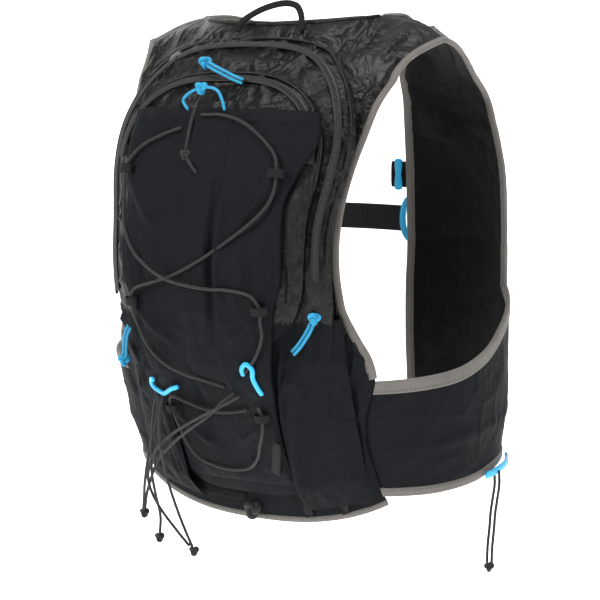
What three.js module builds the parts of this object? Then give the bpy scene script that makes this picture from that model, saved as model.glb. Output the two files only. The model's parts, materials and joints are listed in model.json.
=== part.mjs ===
// A running hydration vest, as it stands on the body, in millimetres.
// +Z is up, the wearer faces -Y, and the wearer's left is +X. The origin is in the middle
// between the shoulders, at the height where the vest rests on them.
import * as THREE from 'three';

// The body of the vest
const HEIGHT = 420;
const CHEST_HALF = 178;
const BACK_DEPTH = 118;
const FRONT_DEPTH = 121;
const SHOULDER_HALF = 145;
const NECK_SHARE = 0.6;
const SECTION_POWER = 2.5;

// Cloth, tape and cord
const CLOTH = 2;
const TAPE_WALL = 1.3;
const TAPE_GAP = 0.6;
const TAPE_WIDTH_SHARE = 0.06;
const SEAM_GAP = 0.5;
const LAYER_GAP = 0.95;
const POUCH_WALL = 1.5;
const BUNGEE = 2.4;
const BUNGEE_SIDES = 8;
const LACING_STEPS = 30;
const FREE_STEPS = 10;
const HOOK_STEPS = 8;

// Pouches on the back
const POUCH_CENTRE = 150;
const MAIN_UP = 128;
const MAIN_DOWN = 239;
const MAIN_DEPTH = 19;
const GUSSET_BULGE = 0.055;
const SECOND_SHARE = 0.9;
const SECOND_UP = 94;
const SECOND_DOWN = 106;
const SECOND_DEPTH = 7;
const POCKET_TOP = 87;
const POCKET_BOTTOM = 374;
const POCKET_BULGE = 5;
const SIDE_POCKET_TOP = 246;
const SIDE_POCKET_BOTTOM = 398;
const SIDE_POCKET_EDGE = 97;

// Small parts
const LOOP_WIDTH = 9;
const LOOP_THICKNESS = 1.2;
const LOOP_HALF = 5.5;
const LOOP_RISE = 3.2;
const LOOP_LIFT = 4.9;
const FRONT_BULGE = 6;
const RAIL_WALL = 1.2;
const WEBBING = 1.6;
const STRAP_DOWN = 176;
const STRAP_WIDTH = 20;
const STRAP_REACH = 8.8;
const SEAT_GAP = 0.3;
const STRAP_BOW = 4;
const BUCKLE_RISE = 34;
const BUCKLE_ASIDE = 8;
const BUCKLE_LENGTH = 28;
const BUCKLE_WIDTH = 7;
const BUCKLE_THICKNESS = 3.2;
const HAUL_HALF = 32;
const HAUL_RISE = 21;
const HAUL_WIDTH = 12;
const HOOK_WIRE = 4.2;
const KNOT = 8;
const KNOT_TALL = 1.25;
const LOCK = 11;
const HEM_WEBBING_WIDTH = 8;
const PACK_WEBBING_WIDTH = 9;
const PACK_WEBBING_LIFT = 2.2;
const ZIP_THICKNESS = 1.2;

// Places on a front panel, across it as shares of its width and up it as stations from the hem
const CHEST_POCKET = { inner: 0.16, outer: 0.84, low: 0.8, high: 6.4 };
const RAIL = { aside: 0.02, width: 0.05, low: 4, high: 8.4 };

// Sections of the body from the shoulders down, as shares of HEIGHT and of the three sizes
const BODY = [
  { down: 0, half: 0.76, back: 0.32, front: 0.51 },
  { down: 0.048, half: 0.83, back: 0.44, front: 0.66 },
  { down: 0.124, half: 0.895, back: 0.66, front: 0.826 },
  { down: 0.226, half: 0.955, back: 0.84, front: 0.926 },
  { down: 0.357, half: 0.989, back: 0.966, front: 0.975 },
  { down: 0.476, half: 1, back: 1, front: 0.992 },
  { down: 0.619, half: 0.994, back: 0.924, front: 1 },
  { down: 0.714, half: 0.978, back: 0.831, front: 1 },
  { down: 0.833, half: 0.944, back: 0.695, front: 1 },
  { down: 0.952, half: 0.904, back: 0.559, front: 1 },
  { down: 1, half: 0.888, back: 0.508, front: 1 },
];

// Outer edge of the back panel: share of CHEST_HALF at each share of HEIGHT
const BACK_EDGE = [
  { down: 0.124, side: 0.697 },
  { down: 0.167, side: 0.663 },
  { down: 0.226, side: 0.64 },
  { down: 0.286, side: 0.612 },
  { down: 0.357, side: 0.587 },
  { down: 0.424, side: 0.577 },
  { down: 0.476, side: 0.58 },
  { down: 0.519, side: 0.589 },
  { down: 0.55, side: 0.6 },
  { down: 0.6, side: 0.646 },
  { down: 0.64, side: 0.685 },
  { down: 0.686, side: 0.69 },
  { down: 0.74, side: 0.64 },
  { down: 0.8, side: 0.615 },
  { down: 0.87, side: 0.63 },
  { down: 0.96, side: 0.67 },
];

// Neck rim and shoulder seam, from the middle of the back outwards
const SHOULDER_SEAM = [
  { side: 0, back: 0.322, down: 0.017 },
  { side: 0.3, back: 0.31, down: 0.013 },
  { side: 0.5, back: 0.205, down: 0.007 },
  { side: 0.6, back: 0.076, down: 0.003 },
  { side: 0.8, back: 0.05, down: 0.016 },
  { side: 1, back: 0.11, down: 0.05 },
];

// Front panel from the hem up to the chest: inner and outer edge
const FRONT_ROWS = [
  { down: 0.845, side: 0.27, outerDown: 0.867, outerSide: 0.855 },
  { down: 0.762, side: 0.27, outerDown: 0.767, outerSide: 0.862 },
  { down: 0.667, side: 0.265, outerDown: 0.667, outerSide: 0.865 },
  { down: 0.562, side: 0.265, outerDown: 0.562, outerSide: 0.872 },
  { down: 0.476, side: 0.28, outerDown: 0.476, outerSide: 0.88 },
  { down: 0.381, side: 0.28, outerDown: 0.385, outerSide: 0.885 },
  { down: 0.298, side: 0.28, outerDown: 0.31, outerSide: 0.88 },
  { down: 0.232, side: 0.275, outerDown: 0.257, outerSide: 0.845 },
  { down: 0.167, side: 0.27, outerDown: 0.21, outerSide: 0.81 },
  { down: 0.11, side: 0.26, outerDown: 0.16, outerSide: 0.775 },
];

// Strap over the shoulder: inner edge, middle and outer edge; x is a share of SHOULDER_HALF,
// y of FRONT_DEPTH and down of HEIGHT
const STRAP_ROWS = [
  { inner: { x: 0.4, y: -0.66, down: 0.062 }, middle: { x: 0.67, y: -0.615, down: 0.09 },
    outer: { x: 0.965, y: -0.38, down: 0.117 } },
  { inner: { x: 0.497, y: -0.48, down: 0.022 }, middle: { x: 0.738, y: -0.42, down: 0.045 },
    outer: { x: 0.978, y: -0.215, down: 0.083 } },
  { inner: { x: 0.57, y: -0.2, down: 0.002 }, middle: { x: 0.786, y: -0.17, down: 0.019 },
    outer: { x: 0.993, y: -0.05, down: 0.06 } },
];

// Wing round the ribs, from its back edge to its front edge: top and hem as shares of HEIGHT
const WING = [
  { across: 0, top: 0.686, hem: 0.912 },
  { across: 0.14, top: 0.681, hem: 0.91 },
  { across: 0.275, top: 0.674, hem: 0.907 },
  { across: 0.39, top: 0.665, hem: 0.902 },
  { across: 0.5, top: 0.65, hem: 0.897 },
  { across: 0.6, top: 0.632, hem: 0.892 },
  { across: 0.7, top: 0.604, hem: 0.884 },
  { across: 0.82, top: 0.57, hem: 0.875 },
  { across: 0.92, top: 0.543, hem: 0.869 },
  { across: 1, top: 0.524, hem: 0.867 },
];

// Half width of the main pouch, a share of CHEST_HALF, and its thickness, a share of MAIN_DEPTH
const MAIN_EDGE = [
  { down: 0.05, side: 0.585, depth: 0.6 },
  { down: 0.152, side: 0.585, depth: 0.8 },
  { down: 0.231, side: 0.585, depth: 0.95 },
  { down: 0.307, side: 0.565, depth: 1 },
  { down: 0.369, side: 0.54, depth: 1 },
  { down: 0.41, side: 0.53, depth: 1 },
  { down: 0.476, side: 0.53, depth: 1 },
  { down: 0.548, side: 0.53, depth: 1 },
  { down: 0.714, side: 0.5, depth: 0.9 },
  { down: 0.917, side: 0.46, depth: 0.55 },
];

// Half width of the stretch pocket: share of CHEST_HALF at each share of HEIGHT
const POCKET_EDGE = [
  { down: 0.2, side: 0.485 },
  { down: 0.255, side: 0.5 },
  { down: 0.31, side: 0.44 },
  { down: 0.36, side: 0.4 },
  { down: 0.48, side: 0.395 },
  { down: 0.53, side: 0.36 },
  { down: 0.6, side: 0.335 },
  { down: 0.72, side: 0.29 },
  { down: 0.81, side: 0.28 },
  { down: 0.9, side: 0.285 },
];

// Where the fabric lacing loops stand on the pocket
const LACING_LOOPS = [
  { name: '1', side: 66, down: 131 },
  { name: '2', side: 57, down: 222 },
  { name: '3', side: 42, down: 308 },
];

const HAUL = [
  { x: 1.03, y: 52.6, z: -0.75 }, { x: 1, y: 49.6, z: -0.3 }, { x: 0.9, y: 45.1, z: 0.3 },
  { x: 0.52, y: 42.1, z: 0.8 }, { x: 0, y: 41.1, z: 0.95 }, { x: -0.52, y: 42.1, z: 0.8 },
  { x: -0.9, y: 45.1, z: 0.3 }, { x: -1, y: 49.6, z: -0.3 }, { x: -1.03, y: 52.6, z: -0.75 },
];

// Routes of the lacing over the pack: sideways, below the shoulders, and off the surface
const LACING = {
  lacing_cord_right: [[6, 92, 1], [-15, 92, 1], [-34, 97, 1], [-52, 108, 1], [-63, 119, 2], [-66, 131, 3],
    [-65, 143, 2], [-60, 154, 1], [-47, 167, 1], [-28, 180, 1], [-6, 192, 1], [18, 202, 1], [38, 208, 2],
    [53, 213, 3], [57, 221, 3.5], [56.5, 231, 3], [54, 244, 1], [48, 257, 1], [36, 268, 1], [20, 275, 1],
    [0, 279, 1], [-17, 283, 1]],
  lacing_cord_left: [[21, 101, 1], [39, 107, 1], [56, 116, 2], [66, 129, 3], [67, 142, 2], [67, 158, 1],
    [64, 174, 1], [54, 188, 1.5], [38, 198, 3], [22, 204, 4.5], [6, 207, 4.5], [-14, 209, 3], [-34, 209, 2],
    [-51, 212, 3], [-57, 220, 3.5], [-56.5, 230, 3], [-56, 240, 1.5], [-52, 252, 1], [-45, 263, 1],
    [-36, 272, 1]],
  lacing_cord_lower: [[-30, 303, 1], [-18, 306, 1], [-2, 308, 1], [14, 306, 1], [28, 301, 2], [38, 297, 3.5],
    [42.5, 304, 3.5], [42, 312, 3.5], [42, 328, 1.5], [40, 342, 1], [32, 355, 1], [16, 361, 1], [0, 362, 1],
    [-16, 358, 1], [-27, 347, 2], [-34, 334, 4.5], [-40, 320, 5], [-42, 308, 3.5], [-41, 298, 3]],
};

const POLE_HOOKS = [
  { name: 'pole_hook_left', lift: 1.6,
    route: [[52, 284], [58, 286], [60, 292], [55, 297], [46, 296], [36, 290], [28, 287]] },
  { name: 'pole_hook_right', lift: 0.6,
    route: [[-22, 290], [-30, 293], [-38, 293], [-47, 289], [-51, 282], [-47, 276], [-40, 277]] },
];

// Free cords with their points, as they hang: x, y and z
const FREE_CORDS = [
  { name: 'tail_cord_1', look: 'cord', diameter: BUNGEE, knot: true, route: [[-26, 136, -297], [-17, 138, -304],
    [0, 135, -318], [24, 129, -333], [48, 120, -349], [70, 109, -366], [84, 100, -384], [95, 92, -401],
    [101, 87, -416]] },
  { name: 'tail_cord_2', look: 'cord', diameter: BUNGEE, knot: true, route: [[58.5, 124, -306.9],
    [63, 123, -320], [68, 119, -336], [72, 115, -356], [75, 111, -377], [77, 103, -398], [80, 93, -418], [83, 90, -434]] },
  { name: 'tail_cord_3', look: 'cord', diameter: BUNGEE, knot: true, route: [[49.5, 129, -307.3], [52, 130, -322],
    [55, 127, -340], [58, 119, -360], [60, 110, -380], [59, 101, -402], [54, 96, -422], [46, 94, -440]] },
  { name: 'zip_pull_top', look: 'blue', diameter: BUNGEE, knot: false, route: [[-20, 113, -53], [-11, 113, -51],
    [-2, 111, -49], [8, 110, -48], [17, 108, -49]] },
  { name: 'top_cord_loop', look: 'blue', diameter: BUNGEE, knot: false, route: [[-6, 131, -75], [-4, 132, -66],
    [3, 128, -59], [14, 126, -57], [26, 127, -60], [33, 130, -67], [30, 130.6, -75]] },
  { name: 'side_pull_right', look: 'blue', diameter: BUNGEE, knot: false, route: [[-77, 129.4, -262],
    [-82, 129.4, -257], [-87, 128.4, -250], [-91, 127.4, -243], [-94, 126.4, -236]] },
  { name: 'side_pull_left', look: 'blue', diameter: BUNGEE, knot: false, route: [[82, 129.9, -252],
    [86, 128.9, -258], [89, 126.9, -264], [91, 124.9, -270], [93, 122.9, -276]] },
  { name: 'front_hook_cord', look: 'cord', diameter: BUNGEE, knot: true, onHem: true, route: [
    [-6.65, -9.2, 0.06], [-6.05, -11.2, -12.04], [-3.05, -14.2, -24.04], [-0.05, -16.2, -38.04],
    [1.95, -18.2, -52.04], [3.95, -19.2, -68.04], [4.95, -20.2, -83.04]] },
];

// Front hook and its cord, from a point on the hem of the side wing
const FRONT_HOOK_ACROSS = 0.68;
const FRONT_HOOK = [[-6.25, 8.8, -0.54], [-6.65, -2.2, 0.96], [-6.35, -14.2, 3.96],
  [-5.05, -26.2, 8.46], [-2.05, -36.2, 15.96], [2.45, -44.2, 22.96]];
const HEM_WEBBING = [[44, 392, 1.4], [30, 393, 1.4], [16, 394, 1.6], [6, 394, 2]];
const PACK_WEBBING = [[-46, 331], [-44, 342], [-41, 352], [-38, 361]];
const LOCK_AT = [-12, 396, 5.1];

const COLOURS = {
  nylon: { color: 0x29292a, roughness: 0.55 },
  stretch: { color: 0x1b1f23, roughness: 0.85 },
  mesh: { color: 0x202124, roughness: 0.9 },
  tape: { color: 0x86827c, roughness: 0.8 },
  cord: { color: 0x3c3e40, roughness: 0.8 },
  blue: { color: 0x2aaadc, roughness: 0.45 },
  webbing: { color: 0x2b2c2f, roughness: 0.8 },
};

const vest = new THREE.Group();
const UP = new THREE.Vector3(0, 0, 1);

// Value of one column of a table at a share of another, on a smooth curve through its rows
function read(rows, from, to, value) {
  const last = rows.length - 1;
  const place = Math.min(Math.max(value, rows[0][from]), rows[last][from]);
  let i = 0;
  while (i < last - 1 && rows[i + 1][from] < place) i += 1;
  const slope = (k) => {
    const a = rows[Math.max(k - 1, 0)];
    const b = rows[Math.min(k + 1, last)];
    return (b[to] - a[to]) / (b[from] - a[from]);
  };
  const width = rows[i + 1][from] - rows[i][from];
  const t = (place - rows[i][from]) / width;
  const t2 = t * t;
  const t3 = t2 * t;
  return (2 * t3 - 3 * t2 + 1) * rows[i][to] + (t3 - 2 * t2 + t) * width * slope(i)
    + (3 * t2 - 2 * t3) * rows[i + 1][to] + (t3 - t2) * width * slope(i + 1);
}

// Half width, back and front of the body's section at a share of the height
function section(down) {
  return {
    half: read(BODY, 'down', 'half', down) * CHEST_HALF,
    back: read(BODY, 'down', 'back', down) * BACK_DEPTH,
    front: read(BODY, 'down', 'front', down) * FRONT_DEPTH,
  };
}

// Point of the body at a sideways place, on the back (sign 1) or on the front (sign -1)
function bodyAt(x, down, sign) {
  const { half, back, front } = section(down);
  const share = Math.min(Math.abs(x) / half, 1);
  const reach = (1 - share ** SECTION_POWER) ** (1 / SECTION_POWER);
  const y = (back - front) / 2 + sign * reach * (back + front) / 2;
  return new THREE.Vector3(x, y, -down * HEIGHT);
}

// Point of the body in a direction, in radians from the wearer's left towards the back
function bodyTurned(turn, down) {
  const { half, back, front } = section(down);
  const c = Math.abs(Math.cos(turn) / half) ** SECTION_POWER;
  const s = Math.abs(Math.sin(turn) / ((back + front) / 2)) ** SECTION_POWER;
  const reach = (c + s) ** (-1 / SECTION_POWER);
  return new THREE.Vector3(reach * Math.cos(turn),
    (back - front) / 2 + reach * Math.sin(turn), -down * HEIGHT);
}

function turnOf(point, down) {
  const { back, front } = section(down);
  return Math.atan2(point.y - (back - front) / 2, point.x);
}

// Outward normal of a surface at its two parameters
function normalAt(surface, s, v) {
  const step = 1e-3;
  const s0 = Math.max(s - step, surface.first);
  const s1 = Math.min(s + step, 1);
  const v0 = Math.max(v - step, 0);
  const v1 = Math.min(v + step, 1);
  const across = surface.at(s1, v).sub(surface.at(s0, v));
  const along = surface.at(s, v1).sub(surface.at(s, v0));
  return across.cross(along).multiplyScalar(surface.facing).normalize();
}

function raised(surface, s, v, height) {
  return surface.at(s, v).addScaledVector(normalAt(surface, s, v), height);
}

function steps(from, to, count) {
  return Array.from({ length: count + 1 }, (_, i) => from + (to - from) * i / count);
}

// Closed mesh from its corners and triangles, turned so that its faces point out
function addMesh(name, look, positions, faces) {
  const geometry = new THREE.BufferGeometry();
  geometry.setAttribute('position',
    new THREE.Float32BufferAttribute(positions.flatMap((p) => [p.x, p.y, p.z]), 3));
  let volume = 0;
  for (const [a, b, c] of faces) {
    volume += positions[a].dot(positions[b].clone().cross(positions[c]));
  }
  const turned = volume < 0 ? faces.map(([a, b, c]) => [a, c, b]) : faces;
  geometry.setIndex(turned.flat());
  geometry.computeVertexNormals();
  const material = new THREE.MeshStandardMaterial({ metalness: 0, ...COLOURS[look] });
  const mesh = new THREE.Mesh(geometry, material);
  mesh.name = name;
  vest.add(mesh);
  return mesh;
}

// Closed wall between two grids of points that share their rim
function addWall(name, look, columns, rows, outer, inner) {
  const positions = [];
  const faces = [];
  const wide = columns.length;
  const index = (side, i, j) => side * wide * rows.length + j * wide + i;
  for (const make of [outer, inner]) {
    for (const v of rows) for (const s of columns) positions.push(make(s, v));
  }
  const quad = (a, b, c, d) => faces.push([a, b, c], [a, c, d]);
  for (let j = 0; j < rows.length - 1; j += 1) {
    for (let i = 0; i < wide - 1; i += 1) {
      quad(index(0, i, j), index(0, i + 1, j), index(0, i + 1, j + 1), index(0, i, j + 1));
      quad(index(1, i, j), index(1, i, j + 1), index(1, i + 1, j + 1), index(1, i + 1, j));
    }
  }
  const right = wide - 1;
  const top = rows.length - 1;
  for (let i = 0; i < right; i += 1) {
    quad(index(0, i + 1, 0), index(0, i, 0), index(1, i, 0), index(1, i + 1, 0));
    quad(index(0, i, top), index(0, i + 1, top), index(1, i + 1, top), index(1, i, top));
  }
  for (let j = 0; j < top; j += 1) {
    quad(index(0, 0, j), index(0, 0, j + 1), index(1, 0, j + 1), index(1, 0, j));
    quad(index(0, right, j + 1), index(0, right, j), index(1, right, j), index(1, right, j + 1));
  }
  return addMesh(name, look, positions, faces);
}

function addSheet(name, look, surface, columns, rows, thickness = CLOTH) {
  return addWall(name, look, columns, rows,
    (s, v) => raised(surface, s, v, thickness), (s, v) => surface.at(s, v));
}

// Closed body from a list of rings of the same length
function addRings(name, look, rings, closed = false) {
  const faces = [];
  const around = rings[0].length;
  const count = rings.length;
  for (let k = 0; k < (closed ? count : count - 1); k += 1) {
    for (let i = 0; i < around; i += 1) {
      const a = k * around + i;
      const b = k * around + (i + 1) % around;
      const c = ((k + 1) % count) * around + (i + 1) % around;
      const d = ((k + 1) % count) * around + i;
      faces.push([a, b, c], [a, c, d]);
    }
  }
  if (!closed) {
    const cap = THREE.ShapeUtils.triangulateShape(flat(rings[0]), []);
    const end = (count - 1) * around;
    for (const [a, b, c] of cap) faces.push([a, c, b], [end + a, end + b, end + c]);
  }
  return addMesh(name, look, rings.flat(), faces);
}

// A ring of points seen in its own plane
function flat(ring) {
  const across = ring[1].clone().sub(ring[0]).normalize();
  const normal = new THREE.Vector3();
  ring.forEach((p, i) => normal.add(p.clone().cross(ring[(i + 1) % ring.length])));
  const up = normal.normalize().clone().cross(across);
  return ring.map((p) => new THREE.Vector2(p.dot(across), p.dot(up)));
}

// U-shaped tape over the edge of a sheet. Each stop names a surface, the place on its edge
// and the place as far inwards as the tape is wide
function addTape(name, stops) {
  const low = -TAPE_GAP;
  const high = CLOTH + TAPE_GAP;
  const rings = stops.map(({ surface, edge, inside }) => {
    const outwards = surface.at(...edge).sub(surface.at(...inside)).normalize();
    const atEdge = (height, reach) => raised(surface, ...edge, height).addScaledVector(outwards, reach);
    const atInside = (height) => raised(surface, ...inside, height);
    return [
      atEdge(low - TAPE_WALL, TAPE_GAP + TAPE_WALL), atInside(low - TAPE_WALL), atInside(low),
      atEdge(low, TAPE_GAP), atEdge(high, TAPE_GAP), atInside(high), atInside(high + TAPE_WALL),
      atEdge(high + TAPE_WALL, TAPE_GAP + TAPE_WALL),
    ];
  });
  return addRings(name, 'tape', rings);
}

// Flat webbing along a path, with its broad side turned by a direction
function addBand(name, look, points, faceOut, width, thickness, count, closed = false) {
  const path = new THREE.CatmullRomCurve3(points, closed);
  const rings = steps(0, 1, count).slice(0, closed ? count : count + 1).map((t) => {
    const centre = path.getPointAt(t);
    const along = path.getTangentAt(t);
    const out = faceOut(centre, t).addScaledVector(along, -faceOut(centre, t).dot(along)).normalize();
    const across = along.clone().cross(out);
    return [[-1, -1], [1, -1], [1, 1], [-1, 1]].map(([a, b]) => centre.clone()
      .addScaledVector(across, a * width / 2).addScaledVector(out, b * thickness / 2));
  });
  return addRings(name, look, rings, closed);
}

// Round cord along a path
function addCord(name, look, points, diameter, count) {
  const circle = new THREE.Shape();
  for (let i = 0; i < BUNGEE_SIDES; i += 1) {
    const turn = 2 * Math.PI * i / BUNGEE_SIDES;
    const corner = [diameter / 2 * Math.cos(turn), diameter / 2 * Math.sin(turn)];
    if (i === 0) circle.moveTo(...corner);
    else circle.lineTo(...corner);
  }
  const path = new THREE.CatmullRomCurve3(points);
  const geometry = new THREE.ExtrudeGeometry(circle, { steps: count, extrudePath: path });
  const material = new THREE.MeshStandardMaterial({ metalness: 0, ...COLOURS[look] });
  const mesh = new THREE.Mesh(geometry, material);
  mesh.name = name;
  vest.add(mesh);
  return mesh;
}

function addKnot(name, look, centre, size) {
  const geometry = new THREE.SphereGeometry(size / 2, 8, 5);
  geometry.scale(1, 1, KNOT_TALL);
  const material = new THREE.MeshStandardMaterial({ metalness: 0, ...COLOURS[look] });
  const mesh = new THREE.Mesh(geometry, material);
  mesh.name = name;
  mesh.position.copy(centre);
  vest.add(mesh);
}

// Back panel: rows on the body up to the shoulder blades, then a curve to the shoulder seam
const BLADE = BACK_EDGE[0].down;
const BLADE_STEP = 0.03;
const BLADE_PULL = 1.5;
const HEM_MIDDLE = 0.996;
const HEM_RISE = 0.055;
const HEM_POWER = 2.5;

function backEdge(down) {
  return read(BACK_EDGE, 'down', 'side', down) * CHEST_HALF;
}

function seamPoint(s) {
  const a = Math.abs(s);
  return new THREE.Vector3(s * SHOULDER_HALF, read(SHOULDER_SEAM, 'side', 'back', a) * BACK_DEPTH,
    -read(SHOULDER_SEAM, 'side', 'down', a) * HEIGHT);
}

// Upper back: a share along the edge row at the blades, and how far on towards the seam
function upperBack(s, rise) {
  const low = bodyAt(s * backEdge(BLADE), BLADE, 1);
  const below = bodyAt(s * backEdge(BLADE), BLADE + BLADE_STEP, 1);
  const pull = low.clone().addScaledVector(low.clone().sub(below), BLADE_PULL);
  const high = seamPoint(s);
  return low.multiplyScalar((1 - rise) ** 2).addScaledVector(pull, 2 * rise * (1 - rise))
    .addScaledVector(high, rise ** 2);
}

const TOP_DOWN = SHOULDER_SEAM[0].down;

// The back at a sideways place in millimetres and a share of the height
function backPoint(x, down) {
  if (down >= BLADE) return bodyAt(x, down, 1);
  return upperBack(x / backEdge(BLADE), (BLADE - down) / (BLADE - TOP_DOWN));
}

function hemDown(s) {
  return HEM_MIDDLE - HEM_RISE * Math.abs(s) ** HEM_POWER;
}

const backPanel = {
  first: -1,
  facing: -1,
  at(s, v) {
    const hem = hemDown(s);
    const down = hem + (TOP_DOWN - hem) * v;
    if (down < BLADE) return upperBack(s, (BLADE - down) / (BLADE - TOP_DOWN));
    return bodyAt(s * backEdge(down), down, 1);
  },
};

function backRow(down, s = 1) {
  const hem = hemDown(s);
  return (down - hem) / (TOP_DOWN - hem);
}

function outOfBack(x, down, height) {
  const step = 0.002;
  const across = backPoint(x + 1, down).sub(backPoint(x - 1, down));
  const along = backPoint(x, down - step).sub(backPoint(x, down + step));
  const normal = along.cross(across).normalize();
  return backPoint(x, down).addScaledVector(normal, height);
}

const HEM_TAPE = 0.02;
const NECK_TAPE = 0.02;
const armholeLow = backRow(0.674);
const NECK_END = NECK_SHARE - 0.025;
const halfColumns = [0.15, 0.3, 0.43, 0.52, NECK_END, NECK_SHARE, 0.7, 0.84, 1 - TAPE_WIDTH_SHARE, 1];
const backColumns = [...halfColumns.map((s) => -s).reverse(), 0, ...halfColumns];
const backRows = [0, HEM_TAPE, 0.11, 0.21, armholeLow, 0.4, 0.48, 0.56, 0.64, 0.72, 0.79, 0.86,
  0.92, 1 - NECK_TAPE, 1];
addSheet('back_panel', 'nylon', backPanel, backColumns, backRows);

// Front panel with its strap, from hem to shoulder seam, on the wearer's left (side 1) or right
function chestRow(row, s) {
  const x = (row.side + (row.outerSide - row.side) * s) * CHEST_HALF;
  return bodyAt(x, row.down + (row.outerDown - row.down) * s, -1);
}

function strapRow(row, s) {
  const corner = ({ x, y, down }) => new THREE.Vector3(x * SHOULDER_HALF, y * FRONT_DEPTH, -down * HEIGHT);
  return corner(row.inner).multiplyScalar((1 - s) * (1 - 2 * s))
    .addScaledVector(corner(row.middle), 4 * s * (1 - s))
    .addScaledVector(corner(row.outer), s * (2 * s - 1));
}

function frontStations(s) {
  const seam = seamPoint(NECK_SHARE + (1 - NECK_SHARE) * s);
  seam.y -= SEAM_GAP;
  return [...FRONT_ROWS.map((row) => chestRow(row, s)), ...STRAP_ROWS.map((row) => strapRow(row, s)), seam];
}

const STATIONS = FRONT_ROWS.length + STRAP_ROWS.length;

function frontPanel(side) {
  return {
    first: 0,
    facing: side,
    at(s, v) {
      const stations = frontStations(s);
      const place = Math.min(v * STATIONS, STATIONS - 1e-9);
      const k = Math.floor(place);
      const [a, b, c, d] = [k - 1, k, k + 1, k + 2].map((i) => stations[Math.min(Math.max(i, 0), STATIONS)]);
      const t = place - k;
      const point = b.clone().multiplyScalar(2).addScaledVector(c.clone().sub(a), t)
        .addScaledVector(a.clone().multiplyScalar(2).addScaledVector(b, -5).addScaledVector(c, 4).sub(d), t * t)
        .addScaledVector(b.clone().multiplyScalar(3).addScaledVector(c, -3).add(d).sub(a), t ** 3)
        .multiplyScalar(0.5);
      point.x *= side;
      return point;
    },
  };
}

const CENTRE_TAPE = 0.075;
const frontColumns = [0, CENTRE_TAPE, 0.25, 0.42, 0.6, 0.78, 1 - CENTRE_TAPE, 1];
const FRONT_HEM_TAPE = 0.022;
const armholeFront = 3.65 / STATIONS;
const frontRows = [0, FRONT_HEM_TAPE, ...steps(1, 3, 2).map((k) => k / STATIONS), armholeFront,
  ...[4, 5, 6, 7.2, 8.4, 9.4, 10.2, 11, 11.6, 12.3, STATIONS].map((k) => k / STATIONS)];

// Wing round the ribs between the back panel and a front panel
function frontOuter(down) {
  return read(FRONT_ROWS.slice(0, 5).map((row) => ({ down: -row.outerDown, side: row.outerSide })),
    'down', 'side', -down) * CHEST_HALF;
}

function wing(side) {
  return {
    first: 0,
    facing: -side,
    at(s, v) {
      const hem = read(WING, 'across', 'hem', s);
      const top = read(WING, 'across', 'top', s);
      const down = hem + (top - hem) * v;
      const from = bodyAt(backEdge(down), down, 1);
      const to = bodyAt(frontOuter(down), down, -1);
      const gapTurn = SEAM_GAP / CHEST_HALF;
      const start = turnOf(from, down) - 6 * gapTurn;
      const end = turnOf(to, down) + 6 * gapTurn;
      const point = bodyTurned(start + (end - start) * s, down);
      point.x *= side;
      return point;
    },
  };
}

const WING_TAPE = 0.08;
const wingColumns = steps(0, 1, 11);
const wingRows = [0, WING_TAPE, 0.3, 0.52, 0.74, 1 - WING_TAPE, 1];

for (const [label, side] of [['left', 1], ['right', -1]]) {
  const front = frontPanel(side);
  const flank = wing(side);
  addSheet(`front_panel_${label}`, 'mesh', front, frontColumns, frontRows);
  addSheet(`side_wing_${label}`, 'stretch', flank, wingColumns, wingRows);
  const overBack = backRows.filter((v) => v >= armholeLow)
    .map((v) => ({ surface: backPanel, edge: [side, v], inside: [side * (1 - TAPE_WIDTH_SHARE), v] }));
  const downFront = frontRows.filter((v) => v >= armholeFront).reverse()
    .map((v) => ({ surface: front, edge: [1, v], inside: [1 - CENTRE_TAPE, v] }));
  addTape(`armhole_binding_${label}`, [...overBack, ...downFront]);
  addTape(`centre_binding_${label}`, frontRows.filter((v) => v > 0)
    .map((v) => ({ surface: front, edge: [0, v], inside: [CENTRE_TAPE, v] })));
  addTape(`front_hem_binding_${label}`, frontColumns.filter((s) => s > CENTRE_TAPE)
    .map((s) => ({ surface: front, edge: [s, 0], inside: [s, FRONT_HEM_TAPE] })));
  addTape(`wing_top_binding_${label}`,
    wingColumns.map((s) => ({ surface: flank, edge: [s, 1], inside: [s, 1 - WING_TAPE] })));
  addTape(`wing_hem_binding_${label}`,
    wingColumns.map((s) => ({ surface: flank, edge: [s, 0], inside: [s, WING_TAPE] })));
}
addTape('back_hem_binding', backColumns
  .map((s) => ({ surface: backPanel, edge: [s, 0], inside: [s, HEM_TAPE] })));
addTape('neck_binding', backColumns.filter((s) => Math.abs(s) <= NECK_END)
  .map((s) => ({ surface: backPanel, edge: [s, 1], inside: [s, 1 - NECK_TAPE] })));

// Pouches on the back: an outline that is a rounded arch, and a height over the back panel
const ARCH_POWER = 3;
const LOW_POWER = 4;
const DOME_POWER = 5;
const PANEL_TOP = CLOTH + LAYER_GAP;

function mainHalf(z) {
  return read(MAIN_EDGE, 'down', 'side', z / HEIGHT) * CHEST_HALF;
}

const mainPouch = { half: mainHalf, up: MAIN_UP, down: MAIN_DOWN };
const secondPouch = { half: (z) => mainHalf(z) * SECOND_SHARE, up: SECOND_UP, down: SECOND_DOWN };

// Share of the way from a pouch's centre to its outline, 1 on the outline
function outwardShare(pouch, x, z) {
  const reach = z < POUCH_CENTRE ? pouch.up : pouch.down;
  const power = z < POUCH_CENTRE ? ARCH_POWER : LOW_POWER;
  return (Math.abs(x / pouch.half(z)) ** power
    + Math.abs((z - POUCH_CENTRE) / reach) ** power) ** (1 / power);
}

function crown(share) {
  return share < 1 ? (1 - share ** DOME_POWER) ** (1 / DOME_POWER) : 0;
}

function mainDepth(z) {
  return read(MAIN_EDGE, 'down', 'depth', z / HEIGHT) * MAIN_DEPTH;
}

// Height of the main pouch's outside over the back panel's inside
function mainHeight(x, z) {
  return PANEL_TOP + mainDepth(z) * crown(outwardShare(mainPouch, x, z));
}

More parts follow.
